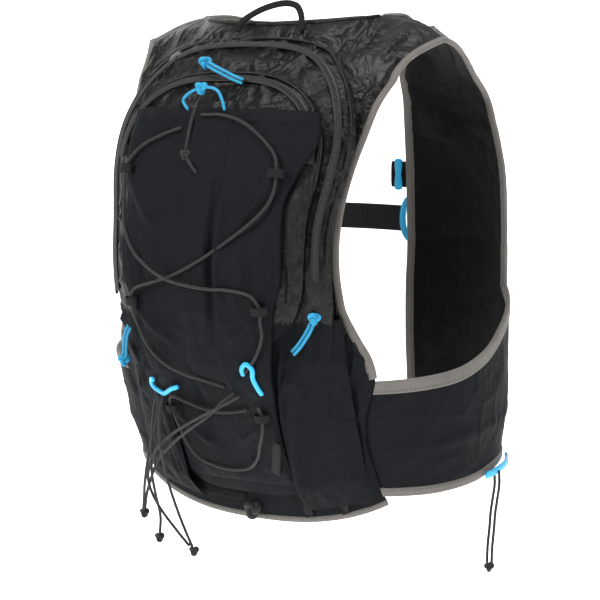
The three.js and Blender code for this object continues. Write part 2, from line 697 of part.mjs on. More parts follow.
function outlinePoint(pouch, turn, share) {
  const c = Math.cos(turn);
  const s = Math.sin(turn);
  const power = s > 0 ? ARCH_POWER : LOW_POWER;
  const out = share * (Math.abs(c) ** power + Math.abs(s) ** power) ** (-1 / power);
  const z = POUCH_CENTRE - (s > 0 ? pouch.up : pouch.down) * s * out;
  return { x: pouch.half(z) * c * out, z };
}

// Outside of a pouch: s goes round its outline and v from its rim to its middle
function pouchSurface(pouch, base, depth, wall, bulge) {
  return {
    first: 0,
    facing: -1,
    at(s, v) {
      const share = 1 - v;
      const { x, z } = outlinePoint(pouch, 2 * Math.PI * s - Math.PI / 2, share);
      const inwards = 1 - wall / pouch.half(z);
      const out = 1 + bulge * Math.sin(Math.PI * crown(share));
      const middle = POUCH_CENTRE + (z - POUCH_CENTRE) * inwards;
      return outOfBack(x * inwards * out, middle / HEIGHT,
        base(x, z) + (depth(z) - wall) * crown(share));
    },
  };
}

const pouchRings = [0, 0.012, 0.05, 0.11, 0.35];
const halfTurns = [...steps(0, 0.25, 9), ...steps(0.25, 0.5, 7).slice(1)];
const pouchTurns = [...halfTurns, ...halfTurns.slice(1, -1).map((s) => 1 - s).reverse()];

function addPouch(name, outer, inner) {
  const positions = [];
  const faces = [];
  const around = pouchTurns.length;
  const side = pouchRings.length * around + 1;
  for (const surface of [outer, inner]) {
    for (const v of pouchRings) for (const s of pouchTurns) positions.push(surface.at(s, v));
    positions.push(surface.at(0, 1));
  }
  for (const offset of [0, side]) {
    const add = (a, b, c) => faces.push(offset ? [a, c, b] : [a, b, c]);
    for (let i = 0; i < around; i += 1) {
      const next = (i + 1) % around;
      for (let k = 0; k < pouchRings.length - 1; k += 1) {
        const a = offset + k * around;
        add(a + i, a + next, a + around + next);
        add(a + i, a + around + next, a + around + i);
      }
      const last = offset + (pouchRings.length - 1) * around;
      add(last + i, last + next, offset + side - 1);
    }
  }
  for (let i = 0; i < around; i += 1) {
    const next = (i + 1) % around;
    faces.push([i, side + i, side + next], [i, side + next, next]);
  }
  return addMesh(name, 'nylon', positions, faces);
}

const onPanel = () => PANEL_TOP;
const onMain = (x, z) => mainHeight(x, z) + LAYER_GAP;
const secondDepth = () => SECOND_DEPTH;
const mainOutside = pouchSurface(mainPouch, onPanel, mainDepth, 0, GUSSET_BULGE);
const secondOutside = pouchSurface(secondPouch, onMain, secondDepth, 0, 0);
addPouch('main_pouch', mainOutside, pouchSurface(mainPouch, onPanel, mainDepth, POUCH_WALL, GUSSET_BULGE));
addPouch('second_pouch', secondOutside, pouchSurface(secondPouch, onMain, secondDepth, POUCH_WALL, 0));

// Zips: a strip on the pouch between two of its rings, over the arch
function addZip(name, surface, from, to) {
  const turns = pouchTurns.filter((s) => s >= from && s <= 1 - from);
  const rows = [pouchRings[2], pouchRings[3]];
  addWall(name, 'nylon', turns, rows, (s, v) => raised(surface, s, v, to + LAYER_GAP),
    (s, v) => raised(surface, s, v, LAYER_GAP));
}

addZip('main_zip', mainOutside, 0.2, ZIP_THICKNESS);
addZip('second_zip', secondOutside, 0.3, ZIP_THICKNESS);

// Stretch pocket: over both pouches, open at its top
const SECOND_LIFT = SECOND_DEPTH + LAYER_GAP;
const LIFT_FALL = { after: 4, length: 50 };
const LOW_BELLY = 60;
const secondEnd = POUCH_CENTRE + SECOND_DOWN;

function pocketHalf(z) {
  return read(POCKET_EDGE, 'down', 'side', z / HEIGHT) * CHEST_HALF;
}

// Height of the pocket's inside over the back panel's inside
function pocketHeight(x, z) {
  const share = Math.min(Math.abs(x) / pocketHalf(z), 1);
  const fall = Math.min(Math.max((z - secondEnd - LIFT_FALL.after) / LIFT_FALL.length, 0), 1);
  const lift = SECOND_LIFT * (1 - fall * fall * (3 - 2 * fall));
  const low = Math.min(Math.max((POCKET_BOTTOM - z) / LOW_BELLY, 0), 1);
  const belly = POCKET_BULGE * (1 - share ** 4) ** 0.25 * low ** 0.5;
  return mainHeight(x, z) + LAYER_GAP + lift + belly;
}

const stretchPocket = {
  first: -1,
  facing: -1,
  at(s, v) {
    const z = POCKET_BOTTOM + (POCKET_TOP - POCKET_BOTTOM) * v;
    const x = s * pocketHalf(z);
    return outOfBack(x, z / HEIGHT, pocketHeight(x, z));
  },
};
const pocketColumns = [-1, -0.93, -0.72, -0.4, 0, 0.4, 0.72, 0.93, 1];
addSheet('stretch_pocket', 'stretch', stretchPocket, pocketColumns, steps(0, 1, 15), POUCH_WALL);

// Side pockets: from beside the stretch pocket down to the back panel, open at their top
function sidePocket(side) {
  return {
    first: 0,
    facing: -side,
    at(s, v) {
      const z = SIDE_POCKET_BOTTOM + (SIDE_POCKET_TOP - SIDE_POCKET_BOTTOM) * v;
      const from = pocketHalf(z) + POUCH_WALL;
      const x = from + (SIDE_POCKET_EDGE - from) * s;
      const share = (1 - (x / (SIDE_POCKET_EDGE + POUCH_WALL)) ** 4) ** 0.25;
      return outOfBack(side * x, z / HEIGHT, PANEL_TOP + (mainDepth(z) + 2 * POUCH_WALL) * share);
    },
  };
}

// Point over the pack at a sideways place and a depth below the shoulders, in millimetres
function onPack(x, z, lift) {
  return outOfBack(x, z / HEIGHT, pocketHeight(x, Math.max(z, POCKET_TOP)) + POUCH_WALL + lift);
}

for (const [label, side] of [['left', 1], ['right', -1]]) {
  addSheet(`side_pocket_${label}`, 'stretch', sidePocket(side), steps(0, 1, 7), steps(0, 1, 8), POUCH_WALL);
}

// Chest pockets, open at the top: a plain sheet over each front panel
function frontPocket(side) {
  const panel = frontPanel(side);
  return {
    first: 0,
    facing: side,
    at(s, v) {
      const across = CHEST_POCKET.inner + (CHEST_POCKET.outer - CHEST_POCKET.inner) * s;
      const up = (CHEST_POCKET.low + (CHEST_POCKET.high - CHEST_POCKET.low) * v) / STATIONS;
      const belly = FRONT_BULGE * (1 - (2 * s - 1) ** 4) ** 0.25 * Math.min(v * 3, 1) ** 0.5;
      return raised(panel, across, up, CLOTH + LAYER_GAP + belly);
    },
  };
}

// Rail tape along the centre-front edge, that the chest strap hangs on
function railTape(side) {
  const panel = frontPanel(side);
  return {
    first: 0,
    facing: side,
    at(s, v) {
      const up = (RAIL.low + (RAIL.high - RAIL.low) * v) / STATIONS;
      return raised(panel, CENTRE_TAPE + RAIL.aside + RAIL.width * s, up, CLOTH + LAYER_GAP);
    },
  };
}

for (const [label, side] of [['left', 1], ['right', -1]]) {
  addSheet(`front_pocket_${label}`, 'stretch', frontPocket(side), steps(0, 1, 6), steps(0, 1, 9), POUCH_WALL);
  addSheet(`strap_rail_${label}`, 'webbing', railTape(side), [0, 1], steps(0, 1, 10), RAIL_WALL);
}

// Chest strap between the two rails, with its hook on the wearer's right and buckle beside it
const strapDown = STRAP_DOWN / HEIGHT;
const railX = (FRONT_ROWS[6].side + 0.04) * CHEST_HALF;
const tapeHeight = CLOTH + TAPE_GAP + TAPE_WALL;
const strapHeight = bodyAt(railX - STRAP_REACH, strapDown, -1).y - tapeHeight - HOOK_WIRE / 2 - SEAT_GAP;
const strapEnd = railX - STRAP_REACH - HOOK_WIRE / 2 - SEAT_GAP;
const forward = () => new THREE.Vector3(0, -1, 0);
addBand('sternum_strap', 'webbing', steps(-1, 1, 4).map((t) => new THREE.Vector3(t * strapEnd,
  strapHeight - STRAP_BOW * (1 - t * t), -STRAP_DOWN)), forward, STRAP_WIDTH, WEBBING, 10);

const HOOK_TALL = 0.75;
const HOOK_OPENING = 0.5;

function addHook(name, points, thickness) {
  return addCord(name, 'blue', points, thickness, HOOK_STEPS);
}

// A hook drawn as an open C in the X-Z plane
function hookPoints(centre, across, tall, from, to) {
  return steps(from, to, 10).map((turn) => new THREE.Vector3(centre.x + across * Math.cos(turn), centre.y,
    centre.z + tall * Math.sin(turn)));
}

for (const [label, side] of [['right', -1], ['left', 1]]) {
  const centre = new THREE.Vector3(side * railX, strapHeight, -STRAP_DOWN);
  const turned = side < 0 ? Math.PI : 0;
  addHook(`sternum_hook_${label}`, hookPoints(centre, STRAP_REACH, STRAP_WIDTH * HOOK_TALL,
    turned + HOOK_OPENING, turned + 2 * Math.PI - HOOK_OPENING), HOOK_WIRE);
}
const buckleAt = new THREE.Vector3(-railX + BUCKLE_ASIDE,
  strapHeight + (HOOK_WIRE - BUCKLE_THICKNESS) / 2 + 3 * SEAT_GAP, -STRAP_DOWN + BUCKLE_RISE);
addBand('sternum_buckle', 'blue', steps(-0.5, 0.5, 2).map((t) => buckleAt.clone()
  .addScaledVector(UP, t * BUCKLE_LENGTH)), forward, BUCKLE_WIDTH, BUCKLE_THICKNESS, 2);

// Loop to hang the vest by, at the neck
addBand('haul_loop', 'webbing', HAUL.map(({ x, y, z }) => new THREE.Vector3(x * HAUL_HALF, y, z * HAUL_RISE)),
  () => new THREE.Vector3(0, 1, 0.25), HAUL_WIDTH, WEBBING, 18);

// Fabric loops for the lacing, each a flat ring that stands on the stretch pocket
for (const loop of LACING_LOOPS) {
  for (const [label, side] of [['left', 1], ['right', -1]]) {
    const at = (turn) => onPack(side * loop.side + LOOP_HALF * Math.cos(turn), loop.down,
      LOOP_LIFT + LOOP_RISE * Math.sin(turn));
    const centre = onPack(side * loop.side, loop.down, LOOP_LIFT);
    addBand(`lacing_loop_${loop.name}_${label}`, 'webbing', steps(0, 2 * Math.PI, 8).slice(0, -1).map(at),
      (point) => point.clone().sub(centre), LOOP_WIDTH, LOOP_THICKNESS, 8, true);
  }
}

// Lacing cords over the pack
for (const [name, route] of Object.entries(LACING)) {
  addCord(name, 'cord', route.map(([x, z, lift]) => onPack(x, z, BUNGEE / 2 + lift)), BUNGEE, LACING_STEPS);
}

// Hooks for poles, at the lower end of the lacing
for (const { name, lift, route } of POLE_HOOKS) {
  addHook(name, route.map(([x, z]) => onPack(x, z, HOOK_WIRE / 2 + lift)), HOOK_WIRE);
}

// Free cords and their knots
const at = ([x, y, z]) => new THREE.Vector3(x, y, z);
const hookSeat = wing(-1).at(FRONT_HOOK_ACROSS, 0);
const fromHem = (offset) => at(offset).add(hookSeat);
for (const { name, look, route, diameter, knot, onHem } of FREE_CORDS) {
  const points = route.map(onHem ? fromHem : at);
  addCord(name, look, points, diameter, FREE_STEPS);
  if (knot) {
    const end = points[points.length - 1].clone();
    const along = end.clone().sub(points[points.length - 2]).normalize();
    addKnot(`${name}_knot`, look, end.addScaledVector(along, KNOT * KNOT_TALL / 2 + SEAT_GAP), KNOT);
  }
}

// Small fittings: blue front hook, lock and webbing at the back hem
addHook('front_hook_right', FRONT_HOOK.map(fromHem), HOOK_WIRE);
addBand('hem_webbing', 'webbing', HEM_WEBBING.map(([x, z, lift]) => outOfBack(x, z / HEIGHT, PANEL_TOP + lift)),
  () => new THREE.Vector3(0, 1, 0), HEM_WEBBING_WIDTH, WEBBING, 8);
addBand('pack_webbing', 'webbing', PACK_WEBBING.map(([x, z]) => onPack(x, z, PACK_WEBBING_LIFT)),
  () => new THREE.Vector3(0, 1, 0), PACK_WEBBING_WIDTH, WEBBING, 10);
addKnot('hem_cord_lock', 'cord', outOfBack(LOCK_AT[0], LOCK_AT[1] / HEIGHT, PANEL_TOP + LOCK_AT[2]), LOCK);

export default vest;
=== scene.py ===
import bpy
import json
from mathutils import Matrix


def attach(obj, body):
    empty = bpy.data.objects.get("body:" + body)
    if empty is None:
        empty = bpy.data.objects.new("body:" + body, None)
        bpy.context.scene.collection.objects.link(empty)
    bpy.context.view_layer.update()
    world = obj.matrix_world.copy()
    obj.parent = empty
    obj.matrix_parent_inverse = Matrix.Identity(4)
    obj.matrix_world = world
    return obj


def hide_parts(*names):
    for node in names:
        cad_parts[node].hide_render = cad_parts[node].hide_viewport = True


bl_info = {
    "name": "Running hydration vest",
    "version": (1, 0, 0),
    "blender": (4, 5, 0),
    "location": "View3D > Sidebar > Vest",
    "description": "Builds the cloth, cords and fittings of a running hydration vest in its worn form",
    "category": "Object",
}

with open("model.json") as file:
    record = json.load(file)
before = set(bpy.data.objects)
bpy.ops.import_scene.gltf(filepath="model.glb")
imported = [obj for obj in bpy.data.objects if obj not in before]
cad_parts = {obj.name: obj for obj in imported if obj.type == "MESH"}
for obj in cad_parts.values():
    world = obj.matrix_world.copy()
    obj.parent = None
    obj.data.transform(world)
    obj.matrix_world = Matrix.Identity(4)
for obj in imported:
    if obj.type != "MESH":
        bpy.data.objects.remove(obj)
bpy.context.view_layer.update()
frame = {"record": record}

import json
import math
from collections import namedtuple

import bpy
import numpy as np
from mathutils import Vector

MM = 0.001

# The body of the vest, in millimetres
HEIGHT = 420
CHEST_HALF = 178
BACK_DEPTH = 118
FRONT_DEPTH = 121
SHOULDER_HALF = 145
NECK_SHARE = 0.6
SECTION_POWER = 2.5
CLOTH = 2
SEAM_GAP = 0.5
LAYER_GAP = 0.95
PANEL_TOP = CLOTH + LAYER_GAP
TUCK = 0.04
POUCH_WALL = 1.5
HOOK_WIRE = 4.2

# Columns: share of the height down from the shoulders, half width, back depth, front depth
BODY = np.array([
    (0, 0.76, 0.32, 0.51), (0.048, 0.83, 0.44, 0.66), (0.124, 0.895, 0.66, 0.826),
    (0.226, 0.955, 0.84, 0.926),
    (0.357, 0.989, 0.966, 0.975), (0.476, 1, 1, 0.992), (0.619, 0.994, 0.924, 1), (0.714, 0.978, 0.831, 1),
    (0.833, 0.944, 0.695, 1), (0.952, 0.904, 0.559, 1), (1, 0.888, 0.508, 1)])
# Columns: down, share of the half width
BACK_EDGE = np.array([
    (0.124, 0.697), (0.167, 0.663), (0.226, 0.64), (0.286, 0.612), (0.357, 0.587), (0.424, 0.577),
    (0.476, 0.58),
    (0.519, 0.589), (0.55, 0.6), (0.6, 0.646), (0.64, 0.685), (0.686, 0.69), (0.74, 0.64), (0.8, 0.615),
    (0.87, 0.63), (0.96, 0.67)])
# Columns: sideways share, back share, down share
SHOULDER_SEAM = np.array([
    (0, 0.322, 0.017), (0.3, 0.31, 0.013), (0.5, 0.205, 0.007), (0.6, 0.076, 0.003), (0.8, 0.05, 0.016),
    (1, 0.11, 0.05)])
# Columns: inner down, inner side, outer down, outer side
FRONT_ROWS = np.array([
    (0.845, 0.21, 0.867, 0.855), (0.762, 0.21, 0.767, 0.862), (0.667, 0.2, 0.667, 0.865),
    (0.562, 0.2, 0.562, 0.872), (0.476, 0.21, 0.476, 0.88), (0.381, 0.21, 0.385, 0.885),
    (0.298, 0.212, 0.31, 0.88), (0.232, 0.215, 0.257, 0.845), (0.167, 0.225, 0.21, 0.81),
    (0.11, 0.235, 0.16, 0.775)])
# Three rows over the shoulder, each with inner, middle and outer place: sideways, forward, down
STRAP_ROWS = np.array([
    ((0.4, -0.66, 0.062), (0.67, -0.615, 0.09), (0.965, -0.38, 0.117)),
    ((0.497, -0.48, 0.022), (0.738, -0.42, 0.045), (0.978, -0.215, 0.083)),
    ((0.57, -0.2, 0.002), (0.786, -0.17, 0.019), (0.993, -0.05, 0.06))])
# Columns: across, top, hem
WING = np.array([
    (0, 0.686, 0.912), (0.14, 0.681, 0.91), (0.275, 0.674, 0.907), (0.39, 0.665, 0.902), (0.5, 0.65, 0.897),
    (0.6, 0.632, 0.892), (0.7, 0.604, 0.884), (0.82, 0.57, 0.875), (0.92, 0.543, 0.869), (1, 0.524, 0.867)])
# Columns: down, half width, depth of the main pouch
MAIN_EDGE = np.array([
    (0.05, 0.585, 0.6), (0.152, 0.585, 0.8), (0.231, 0.585, 0.95), (0.307, 0.565, 1), (0.369, 0.54, 1),
    (0.41, 0.53, 1), (0.476, 0.53, 1), (0.548, 0.53, 1), (0.714, 0.5, 0.9), (0.917, 0.46, 0.55)])
POCKET_EDGE = np.array([
    (0.2, 0.485), (0.255, 0.5), (0.31, 0.44), (0.36, 0.4), (0.48, 0.395), (0.53, 0.36), (0.6, 0.335),
    (0.72, 0.29), (0.81, 0.28), (0.9, 0.285)])
POUCH_CENTRE = 150
MAIN_DEPTH = 19
SECOND_DEPTH = 7
SECOND_SHARE = 0.9
POCKET_TOP = 87
LEFT_REACH = 74
HEM_MIDDLE = 0.984
POCKET_BOTTOM = 374
SIDE_POCKET_TOP = 234
SIDE_POCKET_BOTTOM = 400
SIDE_POCKET_EDGE = 106
STRAP_DOWN = 176
INNER_SPREAD = 0.07
LEFT_SHIFT = INNER_SPREAD * CHEST_HALF + 4
STRAP_HALF = 11.5
FRONT_SPANS = 13

# Binding tape: how far it goes over the edge, and its widths
TAPE_OVER = 1.6
CENTRE_TAPE = 9
FRONT_HEM_TAPE = 8
WING_TOP_TAPE = 11.5
WING_HEM_TAPE = 8.4
BACK_HEM_TAPE = 5.4
NECK_TAPE = 5

# Knots, and the number of points on a cord's path
TAIL_KNOT = 7.4
PULL_KNOT = 9
FRONT_KNOT = 7.5
END_KNOT = 7
HEM_LOCK = 13
PATH_POINTS = 40
HOOK_MIDDLE = 36
HOOK_REACH = 8

# Routes over the pack: sideways, below the shoulders, off the surface
LACING = {
    "lacing_cord_right": [
        (6, 92, 1), (-15, 92, 1), (-34, 97, 1), (-52, 108, 1), (-63, 119, 2), (-66, 131, 3), (-65, 143, 2),
        (-60, 154, 1), (-47, 167, 1), (-28, 180, 1), (-6, 192, 1), (18, 202, 1), (38, 208, 2), (53, 213, 3),
        (57, 221, 3.5), (56.5, 231, 3), (54, 244, 1), (48, 257, 1), (36, 268, 1), (20, 275, 1), (0, 279, 1),
        (-17, 283, 1)],
    "lacing_cord_left": [
        (21, 101, 1), (39, 107, 1), (56, 116, 2), (66, 129, 3), (67, 142, 2), (67, 158, 1), (64, 174, 1),
        (54, 188, 1.5), (38, 198, 3), (22, 204, 4.5), (6, 207, 4.5), (-14, 209, 3), (-34, 209, 2),
        (-51, 212, 3),
        (-57, 220, 3.5), (-56.5, 230, 3), (-56, 240, 1.5), (-52, 252, 1), (-45, 263, 1), (-36, 272, 1)],
    "lacing_cord_lower": [
        (-30, 303, 1), (-18, 306, 1), (-2, 308, 1), (14, 306, 1), (28, 301, 2), (38, 297, 3.5),
        (42.5, 304, 3.5),
        (42, 312, 3.5), (42, 328, 1.5), (40, 342, 1), (32, 355, 1), (16, 361, 1), (0, 362, 1), (-16, 358, 1),
        (-27, 347, 2), (-34, 334, 4.5), (-40, 320, 5), (-42, 308, 3.5), (-41, 298, 3)],
}
LACING_LOOPS = {"1": (66, 131), "2": (57, 222), "3": (42, 308)}
POLE_HOOKS = {
    "pole_hook_left": (1.6, [(52, 284), (58, 286), (60, 292), (55, 297), (46, 296), (36, 290), (28, 287)]),
    "pole_hook_right": (0.6, [(-37, 272), (-37, 266.5), (-41, 263), (-45, 266.5), (-44, 273), (-45, 280),
                              (-47, 288)]),
}

# Cords as they hang, in metres
TAILS = {
    "tail_cord_1": [
        (-0.026, 0.136, -0.297), (-0.017, 0.138, -0.304), (0, 0.135, -0.318), (0.024, 0.129, -0.333),
        (0.048, 0.120, -0.349), (0.070, 0.109, -0.366), (0.084, 0.100, -0.384), (0.095, 0.092, -0.401),
        (0.101, 0.087, -0.416)],
    "tail_cord_2": [
        (0.0585, 0.124, -0.3069), (0.063, 0.123, -0.320), (0.068, 0.119, -0.336), (0.072, 0.115, -0.356),
        (0.075, 0.111, -0.377), (0.077, 0.103, -0.398), (0.080, 0.093, -0.418), (0.083, 0.090, -0.434)],
    "tail_cord_3": [
        (0.0495, 0.129, -0.3073), (0.052, 0.130, -0.322), (0.055, 0.127, -0.340), (0.058, 0.119, -0.360),
        (0.060, 0.110, -0.380), (0.059, 0.101, -0.402), (0.054, 0.096, -0.422), (0.046, 0.094, -0.440)],
}
TAIL_STRANDS = {
    "tail_strand_1": [
        (0.0545, 0.127, -0.3075), (0.062, 0.121, -0.326), (0.071, 0.116, -0.347), (0.081, 0.109, -0.368),
        (0.091, 0.100, -0.390), (0.098, 0.092, -0.404), (0.1015, 0.0885, -0.416)],
    "tail_strand_3": [
        (-0.032, 0.1375, -0.299), (-0.008, 0.1385, -0.312), (0.020, 0.133, -0.326), (0.048, 0.124, -0.342),
        (0.070, 0.115, -0.360), (0.082, 0.107, -0.380), (0.083, 0.102, -0.394), (0.076, 0.098, -0.410),
        (0.062, 0.096, -0.426), (0.048, 0.0955, -0.439)],
}
PULLS = {
    "zip_pull_top": [
        (-0.020, 0.113, -0.0525), (-0.011, 0.1135, -0.0495), (-0.002, 0.1125, -0.046),
        (0.008, 0.1105, -0.0425),
        (0.018, 0.108, -0.0385)],
    "side_pull_right": [
        (-0.077, 0.1294, -0.262), (-0.082, 0.1294, -0.257), (-0.087, 0.1284, -0.250),
        (-0.091, 0.1274, -0.243),
        (-0.094, 0.1264, -0.236)],
    "side_pull_left": [
        (0.082, 0.1299, -0.252), (0.086, 0.1289, -0.258), (0.089, 0.1269, -0.264), (0.091, 0.1249, -0.270),
        (0.0942, 0.1217, -0.2796)],
    "front_hook_cord": [
        (-0.1716, -0.034, -0.3719), (-0.171, -0.036, -0.384), (-0.168, -0.039, -0.396),
        (-0.165, -0.041, -0.410),
        (-0.163, -0.043, -0.424), (-0.161, -0.044, -0.440), (-0.160, -0.045, -0.455)],
}
BUNGEE_END = [(12, 82, 2), (13, 95, 2.4), (13, 108, 2.4), (12, 119, 2.6), (6, 127, 2.4), (0, 132, 2.2)]
TOP_LOOP = [
    (-0.015, 0.131, -0.075), (-0.013, 0.132, -0.066), (-0.006, 0.129, -0.059), (0.006, 0.127, -0.057),
    (0.018, 0.128, -0.060), (0.025, 0.131, -0.067), (0.020, 0.1316, -0.075)]
HAUL = np.array([
    (28, 52.5, -13), (26, 49.6, -6), (19, 46.5, 0), (5, 43.8, 6.5), (-12, 42.5, 10), (-25, 44, 8),
    (-31.5, 47, 1),
    (-34, 50, -6), (-35, 52.5, -13)])
FRONT_HOOK = np.array([
    (-171.2, -16, -373.5), (-171.6, -27, -373), (-171.3, -39, -371.5), (-170, -51, -370), (-167, -61, -368),
    (-162.5, -69, -365.5)])

# Lamps: name, place, size and power
LAMPS = (("key", (0.9, 1.9, 1.0), 0.7, 36), ("side", (-2.2, 0.6, 0.6), 0.6, 20),
         ("top", (-0.2, 0.5, 1.6), 0.9, 26), ("front", (0.4, -2.0, 0.4), 1.4, 14))
CAMERA_AT = (-0.919, 1.4151, -0.0313)
CAMERA_AIM = (0, 0, -0.2385)
LENS = 120
SENSOR = 36

# Creases in the yoke, as lines from one place to another: sideways and down, then width and height
YOKE_FOLDS = [
    ((96, 68), (50, 12), 5, 2.4), ((106, 78), (64, 17), 4, -2), ((84, 60), (42, 20), 4, -1.8),
    ((112, 96), (84, 26), 5, 1.8), ((-60, 44), (-116, 30), 6, 2.2), ((-70, 62), (-120, 44), 4, -2),
    ((-100, 92), (-122, 30), 5, 2), ((-30, 22), (-76, 14), 4, 1.4), ((24, 26), (-20, 22), 5, 1),
    ((-104, 140), (-112, 60), 5, 1.6), ((-96, 210), (-101, 120), 4, 1.4)]
POCKET_FOLDS = [
    ((-17, 138), (-15, 246), 3.2, -2.2), ((-24, 150), (-21, 232), 4, 1.3), ((62, 140), (30, 176), 4, 1.3),
    ((-62, 140), (-34, 170), 4, 1.3), ((54, 228), (22, 256), 4, 1.4), ((-54, 228), (-26, 250), 4, 1.4),
    ((40, 316), (10, 342), 4, 1.3), ((-40, 316), (-12, 338), 4, 1.4), ((30, 110), (-8, 128), 5, 1),
    ((52, 186), (48, 214), 3.5, -1.2), ((-50, 186), (-46, 214), 3.5, -1.2), ((14, 262), (12, 330), 4, -1.3)]

Surface = namedtuple("Surface", "at facing first")


# --- Curves and noise

def smooth(table, column, at):
    """Cubic curve through the rows of a table, each row's slope taken from its two neighbours."""
    places = table[:, 0]
    values = table[:, column]
    rows = np.arange(len(places))
    low = np.maximum(rows - 1, 0)
    high = np.minimum(rows + 1, len(places) - 1)
    slope = (values[high] - values[low]) / (places[high] - places[low])
    at = np.clip(at, places[0], places[-1])
    i = np.clip(np.searchsorted(places, at) - 1, 0, len(places) - 2)
    width = places[i + 1] - places[i]
    t = (at - places[i]) / width
    return ((2 * t**3 - 3 * t**2 + 1) * values[i] + (t**3 - 2 * t**2 + t) * width * slope[i]
            + (3 * t**2 - 2 * t**3) * values[i + 1] + (t**3 - t**2) * width * slope[i + 1])


def through(points, count, closed=False):
    """Evenly spaced points on a smooth curve through the given ones, by their chord length."""
    points = np.asarray(points, float)
    if closed:
        points = np.vstack([points[-2:], points, points[:3]])
    run = np.concatenate([[0], np.cumsum(np.linalg.norm(np.diff(points, axis=0), axis=1))])
    table = np.column_stack([run, points])
    if closed:
        at = np.linspace(run[2], run[-3], count, endpoint=False)
    else:
        fine = np.linspace(0, run[-1], 12 * count)
        track = np.column_stack([smooth(table, k, fine) for k in (1, 2, 3)])
        length = np.concatenate([[0], np.cumsum(np.linalg.norm(np.diff(track, axis=0), axis=1))])
        at = np.interp(np.linspace(0, length[-1], count), length, fine)
    return np.column_stack([smooth(table, k, at) for k in (1, 2, 3)])


def soft_noise(u, v, seed):
    """Random heights from -1 to 1 on a square lattice, blended by a quintic step between corners."""
    table = np.random.default_rng(seed).random((64, 64)) * 2 - 1
    i = np.floor(u).astype(int)
    j = np.floor(v).astype(int)
    a = u - i
    b = v - j
    a = a**3 * (a * (a * 6 - 15) + 10)
    b = b**3 * (b * (b * 6 - 15) + 10)
    near = table[i % 64, j % 64] * (1 - a) + table[(i + 1) % 64, j % 64] * a
    far = table[i % 64, (j + 1) % 64] * (1 - a) + table[(i + 1) % 64, (j + 1) % 64] * a
    return near * (1 - b) + far * b


def creases(u, v, size, seed):
    """Thin ridges where a warped noise crosses zero, with broad hollows between them, 0 to 1."""
    bend = soft_noise(u / size / 2.3, v / size / 2.3, seed + 1) * 0.8
    height = soft_noise(u / size + bend, v / size - bend, seed)
    return (1 - np.minimum(np.abs(height) * 1.6, 1)) ** 2.2


def crumple(u, v, size, seed):
    """Creases of three sizes, each half as large and half as high as the one before."""
    return sum(creases(u, v, size / 2**k, seed + 7 * k) / 2**k for k in range(3)) - 0.45


def folds(x, z, lines):
    """Sum of bell-shaped ridges along straight lines, which fade towards both ends."""
    total = np.zeros_like(x)
    for (x0, z0), (x1, z1), width, height in lines:
        along = ((x - x0) * (x1 - x0) + (z - z0) * (z1 - z0)) / ((x1 - x0) ** 2 + (z1 - z0) ** 2)
        inside = np.clip(along, 0, 1)
        away = np.hypot(x - x0 - inside * (x1 - x0), z - z0 - inside * (z1 - z0))
        total += height * np.exp(-(away / width) ** 2) * np.sin(np.pi * np.clip(along, 0.06, 0.94)) ** 0.7
    return total


def step(low, high, value):
    """Smooth rise from 0 at the low place to 1 at the high one."""
    t = np.clip((value - low) / (high - low), 0, 1)
    return t * t * (3 - 2 * t)


def unit(vectors):
    """Vectors divided by their length."""
    return vectors / np.maximum(np.linalg.norm(vectors, axis=-1, keepdims=True), 1e-12)


# --- The body and the surfaces that lie on it, in millimetres

def section(down):
    """Half width, back depth and front depth of the body at a share of the height."""
    return (smooth(BODY, 1, down) * CHEST_HALF, smooth(BODY, 2, down) * BACK_DEPTH,
            smooth(BODY, 3, down) * FRONT_DEPTH)


def body_at(x, down, sign):
    """Point of a rounded section whose power is 2.5, on the back (1) or the front (-1)."""
    half, back, front = section(down)
    share = np.minimum(np.abs(x) / half, 1)
    reach = (1 - share**SECTION_POWER) ** (1 / SECTION_POWER)
    y = (back - front) / 2 + sign * reach * (back + front) / 2
    return np.stack(np.broadcast_arrays(x, y, -down * HEIGHT), -1)


def body_turned(turn, down):
    """The same section in polar form: the reach at an angle from the wearer's left."""
    half, back, front = section(down)
    reach = (np.abs(np.cos(turn) / half) ** SECTION_POWER
             + np.abs(np.sin(turn) / ((back + front) / 2)) ** SECTION_POWER) ** (-1 / SECTION_POWER)
    return np.stack([reach * np.cos(turn), (back - front) / 2 + reach * np.sin(turn), -down * HEIGHT], -1)


def turn_of(point, down):
    """Angle of a point round the middle of its section."""
    back, front = section(down)[1:]
    return np.arctan2(point[..., 1] - (back - front) / 2, point[..., 0])


BLADE = BACK_EDGE[0, 0]
TOP_DOWN = SHOULDER_SEAM[0, 2]


def back_edge(down):
    """Half the width of the back panel below the shoulder blades."""
    return smooth(BACK_EDGE, 1, down) * CHEST_HALF


def seam_point(s):
    """Point of the shoulder seam at a share of its half width."""
    a = np.abs(s)
    return np.stack([s * SHOULDER_HALF, smooth(SHOULDER_SEAM, 1, a) * BACK_DEPTH,
                     -smooth(SHOULDER_SEAM, 2, a) * HEIGHT], -1)


def upper_back(s, rise):
    """Quadratic curve from the shoulder blades to the shoulder seam, leaving along the back."""
    edge = back_edge(np.array(BLADE))
    low = body_at(s * edge, BLADE + 0 * s, 1)
    below = body_at(s * edge, BLADE + 0.03 + 0 * s, 1)
    pull = low + 1.5 * (low - below)
    t = rise[..., None]
    return low * (1 - t) ** 2 + pull * 2 * t * (1 - t) + seam_point(s) * t**2


def back_point(x, down):
    """Upper curve above the shoulder blades, and the body's section below them."""
    rise = np.clip((BLADE - down) / (BLADE - TOP_DOWN), 0, None)
    upper = upper_back(x / back_edge(np.array(BLADE)), rise)
    lower = body_at(x, np.maximum(down, BLADE), 1)
    return np.where((down >= BLADE)[..., None], lower, upper)


